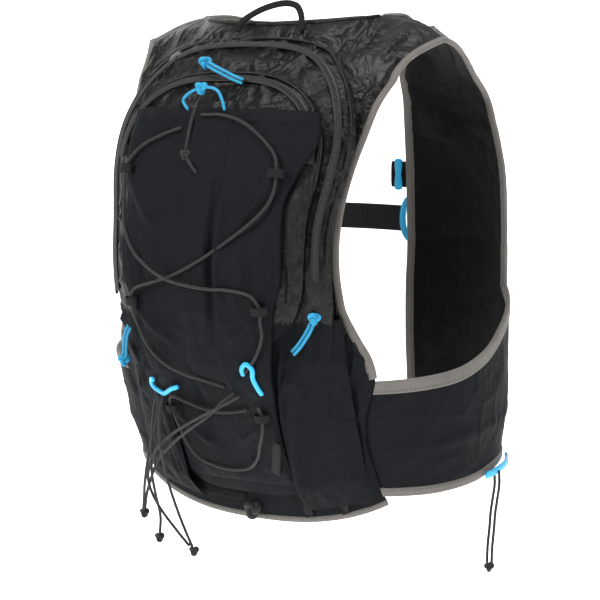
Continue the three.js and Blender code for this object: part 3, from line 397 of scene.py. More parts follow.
def back_panel_at(s, v):
    """Back panel from its curved hem (0) to the shoulder seam (1), by sideways share."""
    hem = HEM_MIDDLE - 0.055 * np.abs(s) ** 2.5
    down = hem + (TOP_DOWN - hem) * v
    rise = np.clip((BLADE - down) / (BLADE - TOP_DOWN), 0, None)
    low = np.maximum(down, BLADE)
    return np.where((down < BLADE)[..., None], upper_back(s, rise), body_at(s * back_edge(low), low, 1))


def out_of_back(x, down, height):
    """Point at a height over the back, along the normal of the back there."""
    x, down = np.broadcast_arrays(np.asarray(x, float), np.asarray(down, float))
    across = back_point(x + 1, down) - back_point(x - 1, down)
    along = back_point(x, down - 0.002) - back_point(x, down + 0.002)
    return back_point(x, down) + unit(np.cross(along, across)) * np.asarray(height)[..., None]


def front_panel(side):
    """Chest rows on the body, strap rows over the shoulder and the seam, joined by smooth curves."""
    def at(s, v):
        s, v = np.broadcast_arrays(np.asarray(s, float), np.asarray(v, float))
        spread = INNER_SPREAD * max(side, 0)
        rows = [body_at((a + spread + (b - a - spread) * s) * CHEST_HALF, d + (e - d) * s, -1)
                for d, a, e, b in FRONT_ROWS]
        scale = np.array([SHOULDER_HALF, FRONT_DEPTH, -HEIGHT])
        for inner, middle, outer in STRAP_ROWS * scale:
            t = s[..., None]
            rows.append(inner * (1 - t) * (1 - 2 * t) + middle * 4 * t * (1 - t) + outer * t * (2 * t - 1))
        rows.append(seam_point(NECK_SHARE + (1 - NECK_SHARE) * s) - np.array([0, SEAM_GAP, 0]))
        rows = np.stack(rows)
        last = len(rows) - 1
        place = np.minimum(v * last, last - 1e-9)
        k = np.floor(place).astype(int)
        t = (place - k)[..., None]
        a, b, c, d = [np.take_along_axis(rows, np.clip(k + i, 0, last)[None, ..., None], 0)[0]
                      for i in (-1, 0, 1, 2)]
        point = (2 * b + (c - a) * t + (2 * a - 5 * b + 4 * c - d) * t**2
                 + (3 * b - 3 * c + d - a) * t**3) / 2
        return point * np.array([side, 1, 1])
    return Surface(at, side, 0)


FRONT_OUTER = np.column_stack([-FRONT_ROWS[:5, 2], FRONT_ROWS[:5, 3]])


def wing(side):
    """Angles round the body from under the back panel's edge to under the front panel's edge."""
    def at(s, v):
        s, v = np.broadcast_arrays(np.asarray(s, float), np.asarray(v, float))
        hem = smooth(WING, 2, s)
        down = hem + (smooth(WING, 1, s) - hem) * v
        outer = smooth(FRONT_OUTER, 1, -down) * CHEST_HALF
        start = turn_of(body_at(back_edge(down), down, 1), down) + TUCK
        end = turn_of(body_at(outer, down, -1), down) - TUCK
        point = body_turned(start + (end - start) * s, down)
        sag = 1 - 0.05 * max(side, 0) * np.sin(np.pi * s) ** 2
        return point * np.stack([side * sag, sag, 1 + 0 * sag], -1)
    return Surface(at, -side, 0)


BACK = Surface(back_panel_at, -1, -1)


def normal_at(surface, s, v):
    """Cross product of the small steps along both directions, facing outwards."""
    small = 1e-3
    low_s = np.maximum(s - small, surface.first)
    high_s = np.minimum(s + small, 1)
    low_v = np.maximum(v - small, 0)
    high_v = np.minimum(v + small, 1)
    across = surface.at(high_s, v) - surface.at(low_s, v)
    along = surface.at(s, high_v) - surface.at(s, low_v)
    return unit(np.cross(across, along)) * surface.facing


def raised(surface, s, v, height):
    """Point of a surface moved along its normal."""
    return surface.at(s, v) + normal_at(surface, s, v) * np.asarray(height)[..., None]


def main_half(z):
    """Half width of the main pouch."""
    return smooth(MAIN_EDGE, 1, z / HEIGHT) * CHEST_HALF


def second_half(z):
    """Half width of the second pouch, a share of that of the main one."""
    return main_half(z) * SECOND_SHARE


MAIN = (main_half, 128, 239)
SECOND = (second_half, 94, 106)


def crown(share):
    """Height of a dome from its rim (1) to its middle (0), with a power of 5."""
    return np.maximum(1 - np.minimum(share, 1) ** 5, 0) ** 0.2


def main_depth(z):
    """How far the main pouch stands out at its middle."""
    return smooth(MAIN_EDGE, 2, z / HEIGHT) * MAIN_DEPTH


def main_height(x, z):
    """Height of the main pouch over the back: its depth times the dome at that share."""
    half, up, low = MAIN
    above = z < POUCH_CENTRE
    power = np.where(above, 3, 4)
    aside = np.abs(x / half(z)) ** power
    along = np.abs((z - POUCH_CENTRE) / np.where(above, up, low)) ** power
    share = (aside + along) ** (1 / power)
    return PANEL_TOP + main_depth(z) * crown(share)


def pouch_at(pouch, base, depth, bulge, s, v):
    """Rings of a rounded arch, from its rim inwards, raised over the back by the dome."""
    half, up, low = pouch
    turn = 2 * np.pi * s - np.pi / 2
    c = np.cos(turn)
    r = np.sin(turn)
    power = np.where(r > 0, 3, 4)
    share = 1 - v
    out = share * (np.abs(c) ** power + np.abs(r) ** power) ** (-1 / power)
    z = POUCH_CENTRE - np.where(r > 0, up, low) * r * out
    x = half(z) * c * out
    swell = 1 + bulge * np.sin(np.pi * crown(share))
    return out_of_back(x * swell, z / HEIGHT, base(x, z) + depth(z) * crown(share)), x, z


def main_pouch_at(s, v):
    """The main pouch, on the back panel."""
    return pouch_at(MAIN, lambda x, z: PANEL_TOP, main_depth, 0.075, s, v)


def second_pouch_at(s, v):
    """The second pouch, on the main one."""
    return pouch_at(SECOND, lambda x, z: main_height(x, z) + LAYER_GAP, lambda z: SECOND_DEPTH, 0, s, v)


def pocket_half(z):
    """Half width of the stretch pocket."""
    return smooth(POCKET_EDGE, 1, z / HEIGHT) * CHEST_HALF


def pocket_height(x, z):
    """Over both pouches, falling to the main pouch below the second one, with a rounded belly."""
    share = np.minimum(np.abs(x) / pocket_half(z), 1)
    fall = step(0, 50, z - POUCH_CENTRE - SECOND[2] - 4)
    low = np.clip((POCKET_BOTTOM - z) / 60, 0, 1)
    belly = 5 * (1 - share**4) ** 0.25 * low**0.5
    return main_height(x, z) + LAYER_GAP + (SECOND_DEPTH + LAYER_GAP) * (1 - fall) + belly


def on_pack(x, z, lift):
    """Point over the stretch pocket, and over its upper edge where it is higher up."""
    x, z = np.broadcast_arrays(np.asarray(x, float), np.asarray(z, float))
    return out_of_back(x, z / HEIGHT, pocket_height(x, np.maximum(z, POCKET_TOP)) + POUCH_WALL + lift)


# --- Meshes

def shade_smooth(mesh):
    """Mark every face as smooth."""
    mesh.polygons.foreach_set("use_smooth", np.full(len(mesh.polygons), True))
    mesh.update()


def add_piece(name, points, faces, places, key):
    """Mesh of points in millimetres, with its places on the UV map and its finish."""
    mesh = bpy.data.meshes.new(name)
    mesh.from_pydata((points * MM).tolist(), [], faces)
    mesh.uv_layers.new(name="UVMap").data.foreach_set("uv", places.astype(np.float32).ravel())
    shade_smooth(mesh)
    mesh.materials.append(finish(key))
    piece = bpy.data.objects.new(name, mesh)
    bpy.context.scene.collection.objects.link(piece)
    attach(piece, "root")
    return piece


def grid_piece(name, points, key, round_rows=False, wall=0.0):
    """Quads between the rows and columns of a grid of points in millimetres, which face away
    from the body's axis. The UV map holds the distance along the rows and the columns in metres."""
    rows, columns = points.shape[:2]
    index = np.arange(rows * columns).reshape(rows, columns)
    spread = points
    if round_rows:
        index = np.vstack([index, index[:1]])
        spread = np.concatenate([spread, spread[:1]], axis=0)
    run = np.linalg.norm(np.diff(spread, axis=0), axis=2)
    rise = np.linalg.norm(np.diff(spread, axis=1), axis=2)
    u = np.vstack([np.zeros((1, run.shape[1])), np.cumsum(run, axis=0)])
    v = np.hstack([np.zeros((rise.shape[0], 1)), np.cumsum(rise, axis=1)])
    uv = np.stack([u, v], -1) * MM

    def corners(values):
        return np.stack([values[:-1, :-1], values[1:, :-1], values[1:, 1:], values[:-1, 1:]], axis=2)

    quads = corners(index).reshape(-1, 4)
    places = corners(uv).reshape(-1, 4, 2)
    flat = points.reshape(-1, 3)
    normal = np.cross(flat[quads[:, 2]] - flat[quads[:, 0]], flat[quads[:, 3]] - flat[quads[:, 1]])
    middle = flat[quads].mean(axis=1)
    away = middle - np.stack([0 * middle[:, 0], 0 * middle[:, 1] - 5, middle[:, 2]], -1)
    turned = (normal * away).sum() < 0
    if turned:
        quads = quads[:, ::-1]
        places = places[:, ::-1]
    piece = add_piece(name, flat, quads.tolist(), places, key)
    if wall:
        thick = piece.modifiers.new("wall", "SOLIDIFY")
        thick.thickness = wall * MM
        thick.offset = -1
    return piece


def outward_normals(points):
    """Normals of a grid from its differences along rows and columns, away from the body's axis."""
    normal = unit(np.cross(np.gradient(points, axis=0), np.gradient(points, axis=1)))
    away = points - np.stack([0 * points[..., 0], 0 * points[..., 1] - 5, points[..., 2]], -1)
    return normal * (1 if (normal * away).sum() > 0 else -1)


def area_of(points):
    """Area of a grid in square metres: half the cross product of each cell's diagonals."""
    a = points[1:, 1:] - points[:-1, :-1]
    b = points[1:, :-1] - points[:-1, 1:]
    return float(np.linalg.norm(np.cross(a, b), axis=2).sum() / 2) * MM**2


def round_profile(sides, wide, high=None, power=2.0):
    """Closed outline of a rounded section: a circle at power 2, nearly a rectangle at power 6."""
    turn = np.linspace(0, 2 * np.pi, sides, endpoint=False)
    c = np.cos(turn)
    s = np.sin(turn)
    return np.column_stack([np.sign(c) * np.abs(c) ** (2 / power) * wide,
                            np.sign(s) * np.abs(s) ** (2 / power) * (high or wide)])


def swept(name, points, out, profile, key, count=120, closed=False, rounding=1.0, pinch=None):
    """A section carried along a smooth path. Its second axis follows the out direction, and both
    ends close in a quarter circle."""
    if closed:
        path = through(points, count, closed=True)
        ahead = unit(np.roll(path, -1, axis=0) - np.roll(path, 1, axis=0))
        size = np.ones(count)
    else:
        fine = through(points, count)
        run = np.concatenate([[0], np.cumsum(np.linalg.norm(np.diff(fine, axis=0), axis=1))])
        end = rounding * (1 - np.cos(np.linspace(0, np.pi / 2, 5)))
        middle = np.linspace(rounding, run[-1] - rounding, count)[1:-1]
        at = np.concatenate([end, middle, run[-1] - end[::-1]])
        path = np.column_stack([np.interp(at, run, fine[:, k]) for k in range(3)])
        ahead = np.column_stack([np.interp(at, run, g) for g in unit(np.gradient(fine, axis=0)).T])
        near = np.minimum(at, run[-1] - at) / rounding
        size = np.maximum(np.sqrt(np.clip(1 - (1 - np.minimum(near, 1)) ** 2, 0, 1)), 0.08)
    if pinch is not None:
        size = size * pinch(np.linspace(0, 1, len(path)))
    direction = np.broadcast_to(out(path) if callable(out) else np.asarray(out, float), path.shape)
    side = unit(np.cross(ahead, direction))
    up = np.cross(side, ahead)
    rings = (path[:, None] + side[:, None] * (profile[None, :, :1] * size[:, None, None])
             + up[:, None] * (profile[None, :, 1:] * size[:, None, None]))
    return ring_piece(name, rings, key, closed)


def ring_piece(name, rings, key, closed=False):
    """Closed body from rings of points: quads between them, and one face over each end. The UV map
    holds the distance along the rings in metres and the share of the way round."""
    count, around = rings.shape[:2]
    index = np.arange(count * around).reshape(count, around)
    index = np.hstack([index, index[:, :1]])
    if closed:
        index = np.vstack([index, index[:1]])
    middle = rings.mean(axis=1)
    gaps = np.linalg.norm(np.diff(np.vstack([middle, middle[:1]]), axis=0), axis=1)
    run = np.concatenate([[0], np.cumsum(gaps)])[:len(index)] * MM
    uv = np.stack(np.broadcast_arrays(run[:, None], np.linspace(0, 1, around + 1)), -1)
    quads = np.stack([index[:-1, :-1], index[1:, :-1], index[1:, 1:], index[:-1, 1:]], axis=2).reshape(-1, 4)
    places = np.stack([uv[:-1, :-1], uv[1:, :-1], uv[1:, 1:], uv[:-1, 1:]], axis=2).reshape(-1, 4, 2)
    flat = rings.reshape(-1, 3)
    normal = np.cross(flat[quads[:, 2]] - flat[quads[:, 0]], flat[quads[:, 3]] - flat[quads[:, 1]])
    centre = np.repeat(middle[:len(quads) // around], around, axis=0)
    turned = (normal * (flat[quads].mean(axis=1) - centre)).sum() < 0
    if turned:
        quads = quads[:, ::-1]
        places = places[:, ::-1]
    faces = quads.tolist()
    places = places.reshape(-1, 2)
    if not closed:
        ends = [index[0, :-1], index[-1, :-1][::-1]]
        if turned:
            ends = [end[::-1] for end in ends]
        faces += [end.tolist() for end in ends]
        places = np.concatenate([places, np.zeros((2 * around, 2))])
    return add_piece(name, flat, faces, places, key)


def knot(name, centre, size, key, turn):
    """Tight overhand knot: a thick cord along a trefoil curve about a centre in metres."""
    t = np.linspace(0, 2 * np.pi, 60, endpoint=False)
    curve = np.column_stack([np.sin(t) + 2 * np.sin(2 * t), -np.sin(3 * t) * 0.9,
                             np.cos(t) - 2 * np.cos(2 * t)])
    spin = np.array([[math.cos(turn), -math.sin(turn), 0], [math.sin(turn), math.cos(turn), 0], [0, 0, 1]])
    path = curve @ spin.T * size / 6.6 + np.array(centre) / MM
    middle = path.mean(axis=0)
    return swept(name, path, lambda p: p - middle, round_profile(10, size * 0.19), key, 90, closed=True)


# --- Materials

class Level:
    """A shader socket with arithmetic: every operator adds one Math node."""

    def __init__(self, finish, socket):
        self.finish = finish
        self.socket = socket

    def made(self, operation, *values):
        node = self.finish.node("ShaderNodeMath", {"operation": operation}, dict(enumerate(values)))
        return Level(self.finish, node.outputs[0])

    def __add__(self, other):
        return self.made("ADD", self, other)

    def __sub__(self, other):
        return self.made("SUBTRACT", self, other)

    def __rsub__(self, other):
        return self.made("SUBTRACT", other, self)

    def __mul__(self, other):
        return self.made("MULTIPLY", self, other)

    __radd__ = __add__
    __rmul__ = __mul__

    def __abs__(self):
        return self.made("ABSOLUTE", self)

    def sine(self):
        return self.made("SINE", self)

    def over(self, other):
        return self.made("GREATER_THAN", self, other)

    def fraction(self):
        return self.made("FRACT", self)


class Finish:
    """One material and the nodes that it is made of."""

    def __init__(self, name):
        self.material = bpy.data.materials.new(name)
        self.material.use_nodes = True
        self.tree = self.material.node_tree
        self.tree.nodes.clear()

    def node(self, kind, settings=None, sockets=None):
        node = self.tree.nodes.new(kind)
        for key, value in (settings or {}).items():
            setattr(node, key, value)
        for key, value in (sockets or {}).items():
            if isinstance(value, Level):
                self.tree.links.new(value.socket, node.inputs[key])
            elif isinstance(value, bpy.types.NodeSocket):
                self.tree.links.new(value, node.inputs[key])
            else:
                node.inputs[key].default_value = value
        return node

    def uv(self):
        place = self.node("ShaderNodeUVMap", {"uv_map": "UVMap"})
        parts = self.node("ShaderNodeSeparateXYZ", None, {0: place.outputs[0]})
        return Level(self, parts.outputs[0]), Level(self, parts.outputs[1])

    def noise(self, scale, detail=3.0, rough=0.55, distortion=0.0):
        place = self.node("ShaderNodeTexCoord")
        node = self.node("ShaderNodeTexNoise", None, {
            "Vector": place.outputs["Object"], "Scale": scale, "Detail": detail, "Roughness": rough,
            "Distortion": distortion})
        return Level(self, node.outputs[0])

    def blend(self, factor, first, second):
        node = self.node("ShaderNodeMix", {"data_type": "RGBA"}, {0: factor, 6: (*first, 1), 7: (*second, 1)})
        return node.outputs[2]

    def finished(self, height, colour, roughness, **constants):
        bump = self.node("ShaderNodeBump", None, {"Strength": 1.0, "Distance": 1.0, "Height": height})
        shader = self.node("ShaderNodeBsdfPrincipled", None, {
            "Base Color": colour, "Roughness": roughness, "Normal": bump.outputs[0],
            **{key.replace("_", " "): value for key, value in constants.items()}})
        output = self.node("ShaderNodeOutputMaterial")
        self.tree.links.new(shader.outputs[0], output.inputs[0])
        return self.material


def ribs(place, period):
    """Rounded ribs from 0 to 1 along a distance in metres."""
    return (place * (2 * math.pi / period)).sine() * 0.5 + 0.5


def darker(colour, share):
    """Each part of a colour times a share."""
    return tuple(c * share for c in colour)


def nylon_finish(name, colour):
    """Thin woven cloth: fine crossed threads, small crumples, and a sheen that varies with them."""
    f = Finish(name)
    u, v = f.uv()
    threads = ribs(u, 0.0011) * ribs(v, 0.0011)
    wrinkle = abs(f.noise(27, 3.0, 0.55, 0.5) - 0.5)
    fine = abs(f.noise(120, 2.0, 0.5, 0.4) - 0.5)
    height = threads * 0.00005 - wrinkle * 0.0072 - fine * 0.0011
    tone = f.noise(14, 2.0)
    return f.finished(height, f.blend(tone, darker(colour, 0.72), darker(colour, 1.3)), 0.3 + tone * 0.16,
                      Specular_IOR_Level=0.24)


def stretch_finish(name, colour):
    """Smooth knit: fine columns of stitches, a faint mottling and a dull surface."""
    f = Finish(name)
    u, v = f.uv()
    knit = ribs(u + v * 0.5, 0.0012) * ribs(v, 0.0008)
    soft = abs(f.noise(30, 3.0, 0.5, 0.6) - 0.5)
    height = knit * 0.00007 - soft * 0.0045
    tone = f.noise(24, 3.0)
    return f.finished(height, f.blend(tone, darker(colour, 0.75), darker(colour, 1.25)), 0.6 + tone * 0.16,
                      Specular_IOR_Level=0.08)


def mesh_finish(name, colour):
    """Open mesh: rows of round holes, set half a step apart, that sink into the cloth. The holes are painted
    darker, for the dark layer seen through them and for painted shade inside them.
    """
    f = Finish(name)
    u, v = f.uv()
    holes = ribs(u + v * 0.5, 0.0026) * ribs(v - u * 0.5, 0.0026)
    shaded_hole = holes.over(0.5)
    soft = f.noise(40, 3.0, 0.6, 0.4)
    height = soft * 0.0016 - holes * 0.00035
    # painted shade: the holes take 0.3 of the mesh colour, for the shade inside them and the dark layer
    # behind
    return f.finished(height, f.blend(shaded_hole, colour, darker(colour, 0.3)), 0.5 + shaded_hole * 0.2,
                      Specular_IOR_Level=0.12)


def tape_finish(name, colour):
    """Ribbed binding tape with a line of stitches near its inner edge on both faces."""
    f = Finish(name)
    u, v = f.uv()
    weave = ribs(u, 0.0009)
    beside = 0.026 - abs(abs(v - 0.5) - 0.31)
    line = beside.over(0) * (u * (1 / 0.0034)).fraction().over(0.34)
    pucker = f.noise(130, 2.0)
    height = weave * 0.00008 + line * 0.0003 + pucker * 0.0008
    tone = f.noise(60, 4.0, 0.65)
    worn = f.blend(tone, darker(colour, 0.7), darker(colour, 1.22))
    mix = f.node("ShaderNodeMix", {"data_type": "RGBA"},
                 {0: line * 0.55, 6: worn, 7: (*darker(colour, 0.42), 1)})
    return f.finished(height, mix.outputs[2], 0.72 + tone * 0.15, Specular_IOR_Level=0.3, Sheen_Weight=0.15)


def cord_finish(name, colour, around=6, pitch=0.0032):
    """Braid: two families of threads that wind in opposite directions. The colour carries painted shade in
    the grooves between them and a painted highlight on their crowns.
    """
    f = Finish(name)
    u, v = f.uv()
    left = (u * (2 * math.pi / pitch) + v * (2 * math.pi * around)).sine()
    right = (u * (2 * math.pi / pitch) - v * (2 * math.pi * around)).sine()
    braid = abs(left * right)
    tone = f.noise(300, 2.0)
    # painted shade and highlight: darker (0.4) where the braid sinks, lighter (1.3) where it rises, with a
    # little random tone
    shaded_braid = f.blend(braid * 0.7 + tone * 0.3, darker(colour, 0.4), darker(colour, 1.3))
    return f.finished(braid * 0.00035, shaded_braid, 0.6 + tone * 0.2, Specular_IOR_Level=0.35, Sheen_Weight=0.1)


def webbing_finish(name, colour, period=0.0016):
    """Woven webbing: ribs across its length and thinner threads along it. The colour follows the ribs, with
    painted shade between them and a painted highlight on their tops.
    """
    f = Finish(name)
    u, v = f.uv()
    weave = ribs(u, period)
    thread = ribs(v, 0.04)
    tone = f.noise(200, 3.0)
    height = weave * 0.0003 + thread * 0.00006 + tone * 0.0001
    # painted shade and highlight: darker (0.6) between the ribs, lighter (1.35) on them
    return f.finished(height, f.blend(weave, darker(colour, 0.6), darker(colour, 1.35)), 0.66 + tone * 0.15,
                      Specular_IOR_Level=0.2)


def zip_finish(name, colour):
    """Zip: a coil of teeth in the middle groove, between two strips of cloth. The sunken groove is painted
    darker as shade.
    """
    f = Finish(name)
    u, v = f.uv()
    groove = 0.045 - abs(v - 0.25)
    teeth = groove.over(0) * ribs(u, 0.0018)
    height = teeth * 0.0004 - groove.over(0) * 0.0003
    # painted shade: the sunken groove takes 0.45 of the cloth colour
    return f.finished(height, f.blend(groove.over(0), colour, darker(colour, 0.45)), 0.5 + teeth * 0.1,
                      Specular_IOR_Level=0.4)


def plastic_finish(name, colour):
    """Moulded plastic: a faint grain, softly shiny, a little duller where it is handled."""
    f = Finish(name)
    grain = f.noise(900, 2.0)
    worn = f.noise(45, 3.0)
    handled = f.blend(worn, darker(colour, 0.86), darker(colour, 1.08))
    return f.finished(grain * 0.00006, handled, 0.3 + worn * 0.16, Specular_IOR_Level=0.5)


def stage_finish(name, colour, glow):
    """Even pale surface that glows a little, with a trace of unevenness."""
    f = Finish(name)
    tone = f.noise(3, 1.0)
    return f.finished(tone * 0.0001, f.blend(tone, darker(colour, 0.99), colour), 0.9 + tone * 0.02,
                      Emission_Color=(1, 1, 1, 1), Emission_Strength=glow)


FINISHES = {}


def finish(key):
    """The material of one slot, made once from the scene's colours."""
    if key not in FINISHES:
        c = bpy.context.scene.vest_colours
        makers = {
            "nylon": lambda: nylon_finish("nylon", c.nylon),
            "stretch": lambda: stretch_finish("stretch", c.stretch),
            "mesh": lambda: mesh_finish("mesh", c.mesh),
            "tape": lambda: tape_finish("tape", c.tape),
            "cord": lambda: cord_finish("bungee", c.cord),
            "webbing": lambda: webbing_finish("webbing", c.webbing),
            "elastic": lambda: webbing_finish("ribbed_elastic", darker(c.webbing, 1.6), 0.003),
            "zip": lambda: zip_finish("zip", c.nylon),
            "plastic": lambda: plastic_finish("blue_plastic", c.blue),
            "blue_cord": lambda: cord_finish("blue_cord", c.blue, 5, 0.0028)}
        FINISHES[key] = makers[key]()
    return FINISHES[key]


# --- Pieces

class VestSizes(bpy.types.PropertyGroup):
    """Sizes that change how the cloth lies and how thick its trimmings look."""

    crease: bpy.props.FloatProperty(name="Crease height", description="Height of the crumples in the nylon",
                                    default=0.003, unit="LENGTH")
    swell: bpy.props.FloatProperty(name="Pocket swell", default=0.0018, unit="LENGTH",
                                   description="Height of the soft waves in the stretch cloth")
    tape: bpy.props.FloatProperty(name="Tape thickness", description="Half the thickness of the binding tape",
                                  default=0.0021, unit="LENGTH")
    cord: bpy.props.FloatProperty(name="Cord diameter", description="Diameter of the elastic cord",
                                  default=0.0024, unit="LENGTH")


def colour_of(name, description, slot, share=1.0):
    """A colour setting that starts as a share of the record's colour for a slot."""
    record = {entry["slot"]: entry["base_color"] for entry in frame["record"]["materials"]}
    return bpy.props.FloatVectorProperty(name=name, description=description, subtype="COLOR", min=0, max=1,
                                         default=tuple(min(c * share, 1) for c in record[slot]))


class VestColours(bpy.types.PropertyGroup):
    """Colours of the cloth, tape, cord and fittings."""

    nylon: colour_of("Nylon", "Colour of the woven cloth", "nylon", 0.1)
    stretch: colour_of("Stretch cloth", "Colour of the knitted pockets and wings", "stretch", 0.5)
    mesh: colour_of("Mesh", "Colour of the front panels", "mesh", 0.12)
    tape: colour_of("Tape", "Colour of the binding tape", "tape", 0.55)
    cord: colour_of("Cord", "Colour of the elastic cord", "cord", 0.3)
    webbing: colour_of("Webbing", "Colour of straps and loops", "webbing", 0.25)
    blue: colour_of("Blue fittings", "Colour of hooks, buckles and pulls", "blue", 1.1)


def strand(route, aside):
    """One of two cords that run side by side: the route moved sideways by a distance in millimetres."""
    path = through(np.array(route) / MM, 16)
    ahead = unit(np.gradient(path, axis=0))
    return path + unit(np.cross(ahead, np.array([0.0, 1, 0.2]))) * aside


def free_cord(path, knots):
    """Turn a cord's path from millimetres into a list in metres, which is not kept."""
    (path * MM).tolist()


class VEST_OT_camera(bpy.types.Operator):
    """Place the camera level with the wearer's back, a little to the right of it"""

    bl_idname = "vest.camera"
    bl_label = "Camera"

    def execute(self, context):
        lens = bpy.data.cameras.new("camera")
        lens.lens = LENS
        lens.sensor_width = SENSOR
        camera = bpy.data.objects.new("camera", lens)
        camera.location = CAMERA_AT
        aim = Vector(CAMERA_AIM) - camera.location
        camera.rotation_euler = aim.to_track_quat("-Z", "Y").to_euler()
        context.scene.collection.objects.link(camera)
        context.scene.camera = camera
        return {"FINISHED"}


class VEST_OT_cords(bpy.types.Operator):
    """Lay the free elastic cords and the blue pulls, with their knots"""

    bl_idname = "vest.cords"
    bl_label = "Free cords"

    def execute(self, context):
        round_cord = round_profile(10, context.scene.vest_sizes.cord / MM / 2)
        for name, route in {**TAILS, **TAIL_STRANDS}.items():
            points = np.array(route) / MM
            path = through(points, PATH_POINTS)
            cord = swept(name, points, (0, 1, 0.15), round_cord, "cord", 140)
            knots = []
            if name in TAILS:
                centre = (path[-1] + unit(path[-1] - path[-3]) * 3.2) * MM
                knots = [knot(f"{name}_tied", centre, TAIL_KNOT, "cord", 0.4)]
                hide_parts(name)
                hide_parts(f"{name}_knot")
            free_cord(path, knots)
        for name, route in PULLS.items():
            in_front = name == "front_hook_cord"
            half_gap = 2.2 if in_front else 1.6
            key = "cord" if in_front else "blue_cord"
            centre = np.array(route[-1]) + unit(np.array(route[-1]) - np.array(route[-2])) * 0.0028
            tied = knot(f"{name}_tied", centre, FRONT_KNOT if in_front else PULL_KNOT, key, 0.9)
            for label, aside in (("inner", -half_gap), ("outer", half_gap)):
                path = strand(route, aside)
                cord = swept(f"{name}_{label}", path, (0, 1, 0.2), round_cord, key, 90)
                line = through(path, PATH_POINTS)
                free_cord(line, [tied] if label == "inner" else [])
                if label == "inner":
                    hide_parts(name)
            if in_front:
                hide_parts("front_hook_cord_knot")
        x, z, lift = np.array(BUNGEE_END).T
        path = on_pack(x, z, lift)
        cord = swept("bungee_end", path, (0, 1, 0.2), round_cord, "cord", 90)
        tied = knot("bungee_end_tied", on_pack(12, 120, 3.6) * MM, END_KNOT, "cord", 0.4)
        line = through(path, PATH_POINTS)
        free_cord(line, [tied])
        points = np.array(TOP_LOOP) / MM
        loop = swept("top_cord_loop", points, (0, 1, 0.6), round_cord, "blue_cord", 120)
        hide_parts("top_cord_loop")
        line = through(points, PATH_POINTS)
        tied = knot("top_cord_loop_tied", line[22] * MM, PULL_KNOT, "blue_cord", 0.3)
        free_cord(line, [tied])
        return {"FINISHED"}


def declared_sheet(points):
    """Work out a sheet's flat size: the lengths of its longest row and column, and its area, which are not
    kept.
    """
    across = np.linalg.norm(np.diff(points, axis=0), axis=2).sum(axis=0).max() * MM
    along = np.linalg.norm(np.diff(points, axis=1), axis=2).sum(axis=1).max() * MM
    area = min(area_of(points), float(across * along))


def second_finish(piece, key, seam):
    """Give the faces whose middle lies below a seam line a second material."""
    mesh = piece.data
    mesh.materials.append(finish(key))
    centres = np.empty(len(mesh.polygons) * 3)
    mesh.polygons.foreach_get("center", centres)
    x, z = centres.reshape(-1, 3)[:, [0, 2]].T
    mesh.polygons.foreach_set("material_index", (z < seam(x)).astype(np.int32))
    mesh.update()


class VEST_OT_panels(bpy.types.Operator):
    """Make the back panel, the two front panels with their straps and the two side wings"""

    bl_idname = "vest.panels"
    bl_label = "Panels and wings"

    def execute(self, context):
        crease = context.scene.vest_sizes.crease / MM
        s, v = np.meshgrid(np.linspace(-1, 1, 190), np.linspace(0, 1, 210), indexing="ij")
        flat = raised(BACK, s, v, 2.0)
        x, z = flat[..., 0], -flat[..., 2]
        under = step(-6, 14, (np.abs(x) / (main_half(np.maximum(z, 20)) + 4) - 1) * 100)
        open_cloth = np.clip(under + step(40, 18, z), 0, 1)
        rim = step(0, 0.05, 1 - np.abs(s)) * step(0, 0.04, v) * step(0, 0.03, 1 - v)
        lower = step(225, 265, z)
        long_folds = (crumple(x * 1.1, z * 0.28, 26, 9) * crease * 1.2
                      + lower * soft_noise(x / 12 - z / 70, z / 90, 15) * 2.6)
        crumples = crumple(x, z * 0.8, 40, 3) * crease * (1 - 0.75 * lower)
        height = (crumples + long_folds + 1.7 * folds(x, z, YOKE_FOLDS)) * open_cloth * rim
        points = flat + outward_normals(flat) * height[..., None]
        piece = grid_piece("back_cloth", points, "nylon", wall=1.4)
        second_finish(piece, "stretch", lambda x: -0.231 - 0.69 * (np.abs(x) - 0.075))
        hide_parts("back_panel")
        declared_sheet(points)
        for label, side in (("left", 1), ("right", -1)):
            surface = front_panel(side)
            s, v = np.meshgrid(np.linspace(0, 1, 70), np.linspace(0, 1, 200), indexing="ij")
            flat = raised(surface, s, v, 1.9)
            rim = step(0, 0.1, s) * step(0, 0.1, 1 - s) * step(0, 0.04, v) * step(0, 0.02, 1 - v)
            waves = soft_noise(s * 3.2 + v * 1.5, v * 9, 21) * 1.5 + crumple(s * 130, v * 430, 46, 12) * 1.1
            covered = step(0.55, 0.5, v) * step(0.05, 0.1, v)
            height = (waves * 1.7 - 1.4) * rim * (1 - 0.45 * covered)
            points = flat + outward_normals(flat) * height[..., None]
            piece = grid_piece(f"front_cloth_{label}", points, "mesh", wall=1.3)
            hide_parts(f"front_panel_{label}")
            declared_sheet(points)
            surface = wing(side)
            s, v = np.meshgrid(np.linspace(0, 1, 130), np.linspace(0, 1, 64), indexing="ij")
            flat = raised(surface, s, v, 2 - 1.7 * step(0.06, 0.03, s) - 1.7 * step(0.94, 0.97, s))
            rim = step(0.03, 0.1, s) * step(0.03, 0.1, 1 - s) * step(0.03, 0.2, v) * step(0.07, 0.24, 1 - v)
            long_fold = 1.5 * np.exp(-((v - 0.36 - 0.05 * np.sin(s * 5)) / 0.055) ** 2) * step(0.02, 0.3, s)
            soft = soft_noise(s * 7, v * 2.4, 31) * 1.1 + crumple(s * 190, v * 90, 40, 5) * 1.3
            points = flat + outward_normals(flat) * ((soft + long_fold) * rim)[..., None]
            piece = grid_piece(f"wing_cloth_{label}", points, "stretch", wall=1.3)
            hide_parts(f"side_wing_{label}")
            declared_sheet(points)
        return {"FINISHED"}


def edge_frame(surface, edge, inside):
    """Middle points of an edge, the directions from it into the cloth, and the normals there."""
    return (raised(surface, *edge, CLOTH / 2), unit(surface.at(*inside) - surface.at(*edge)),
            normal_at(surface, *edge))


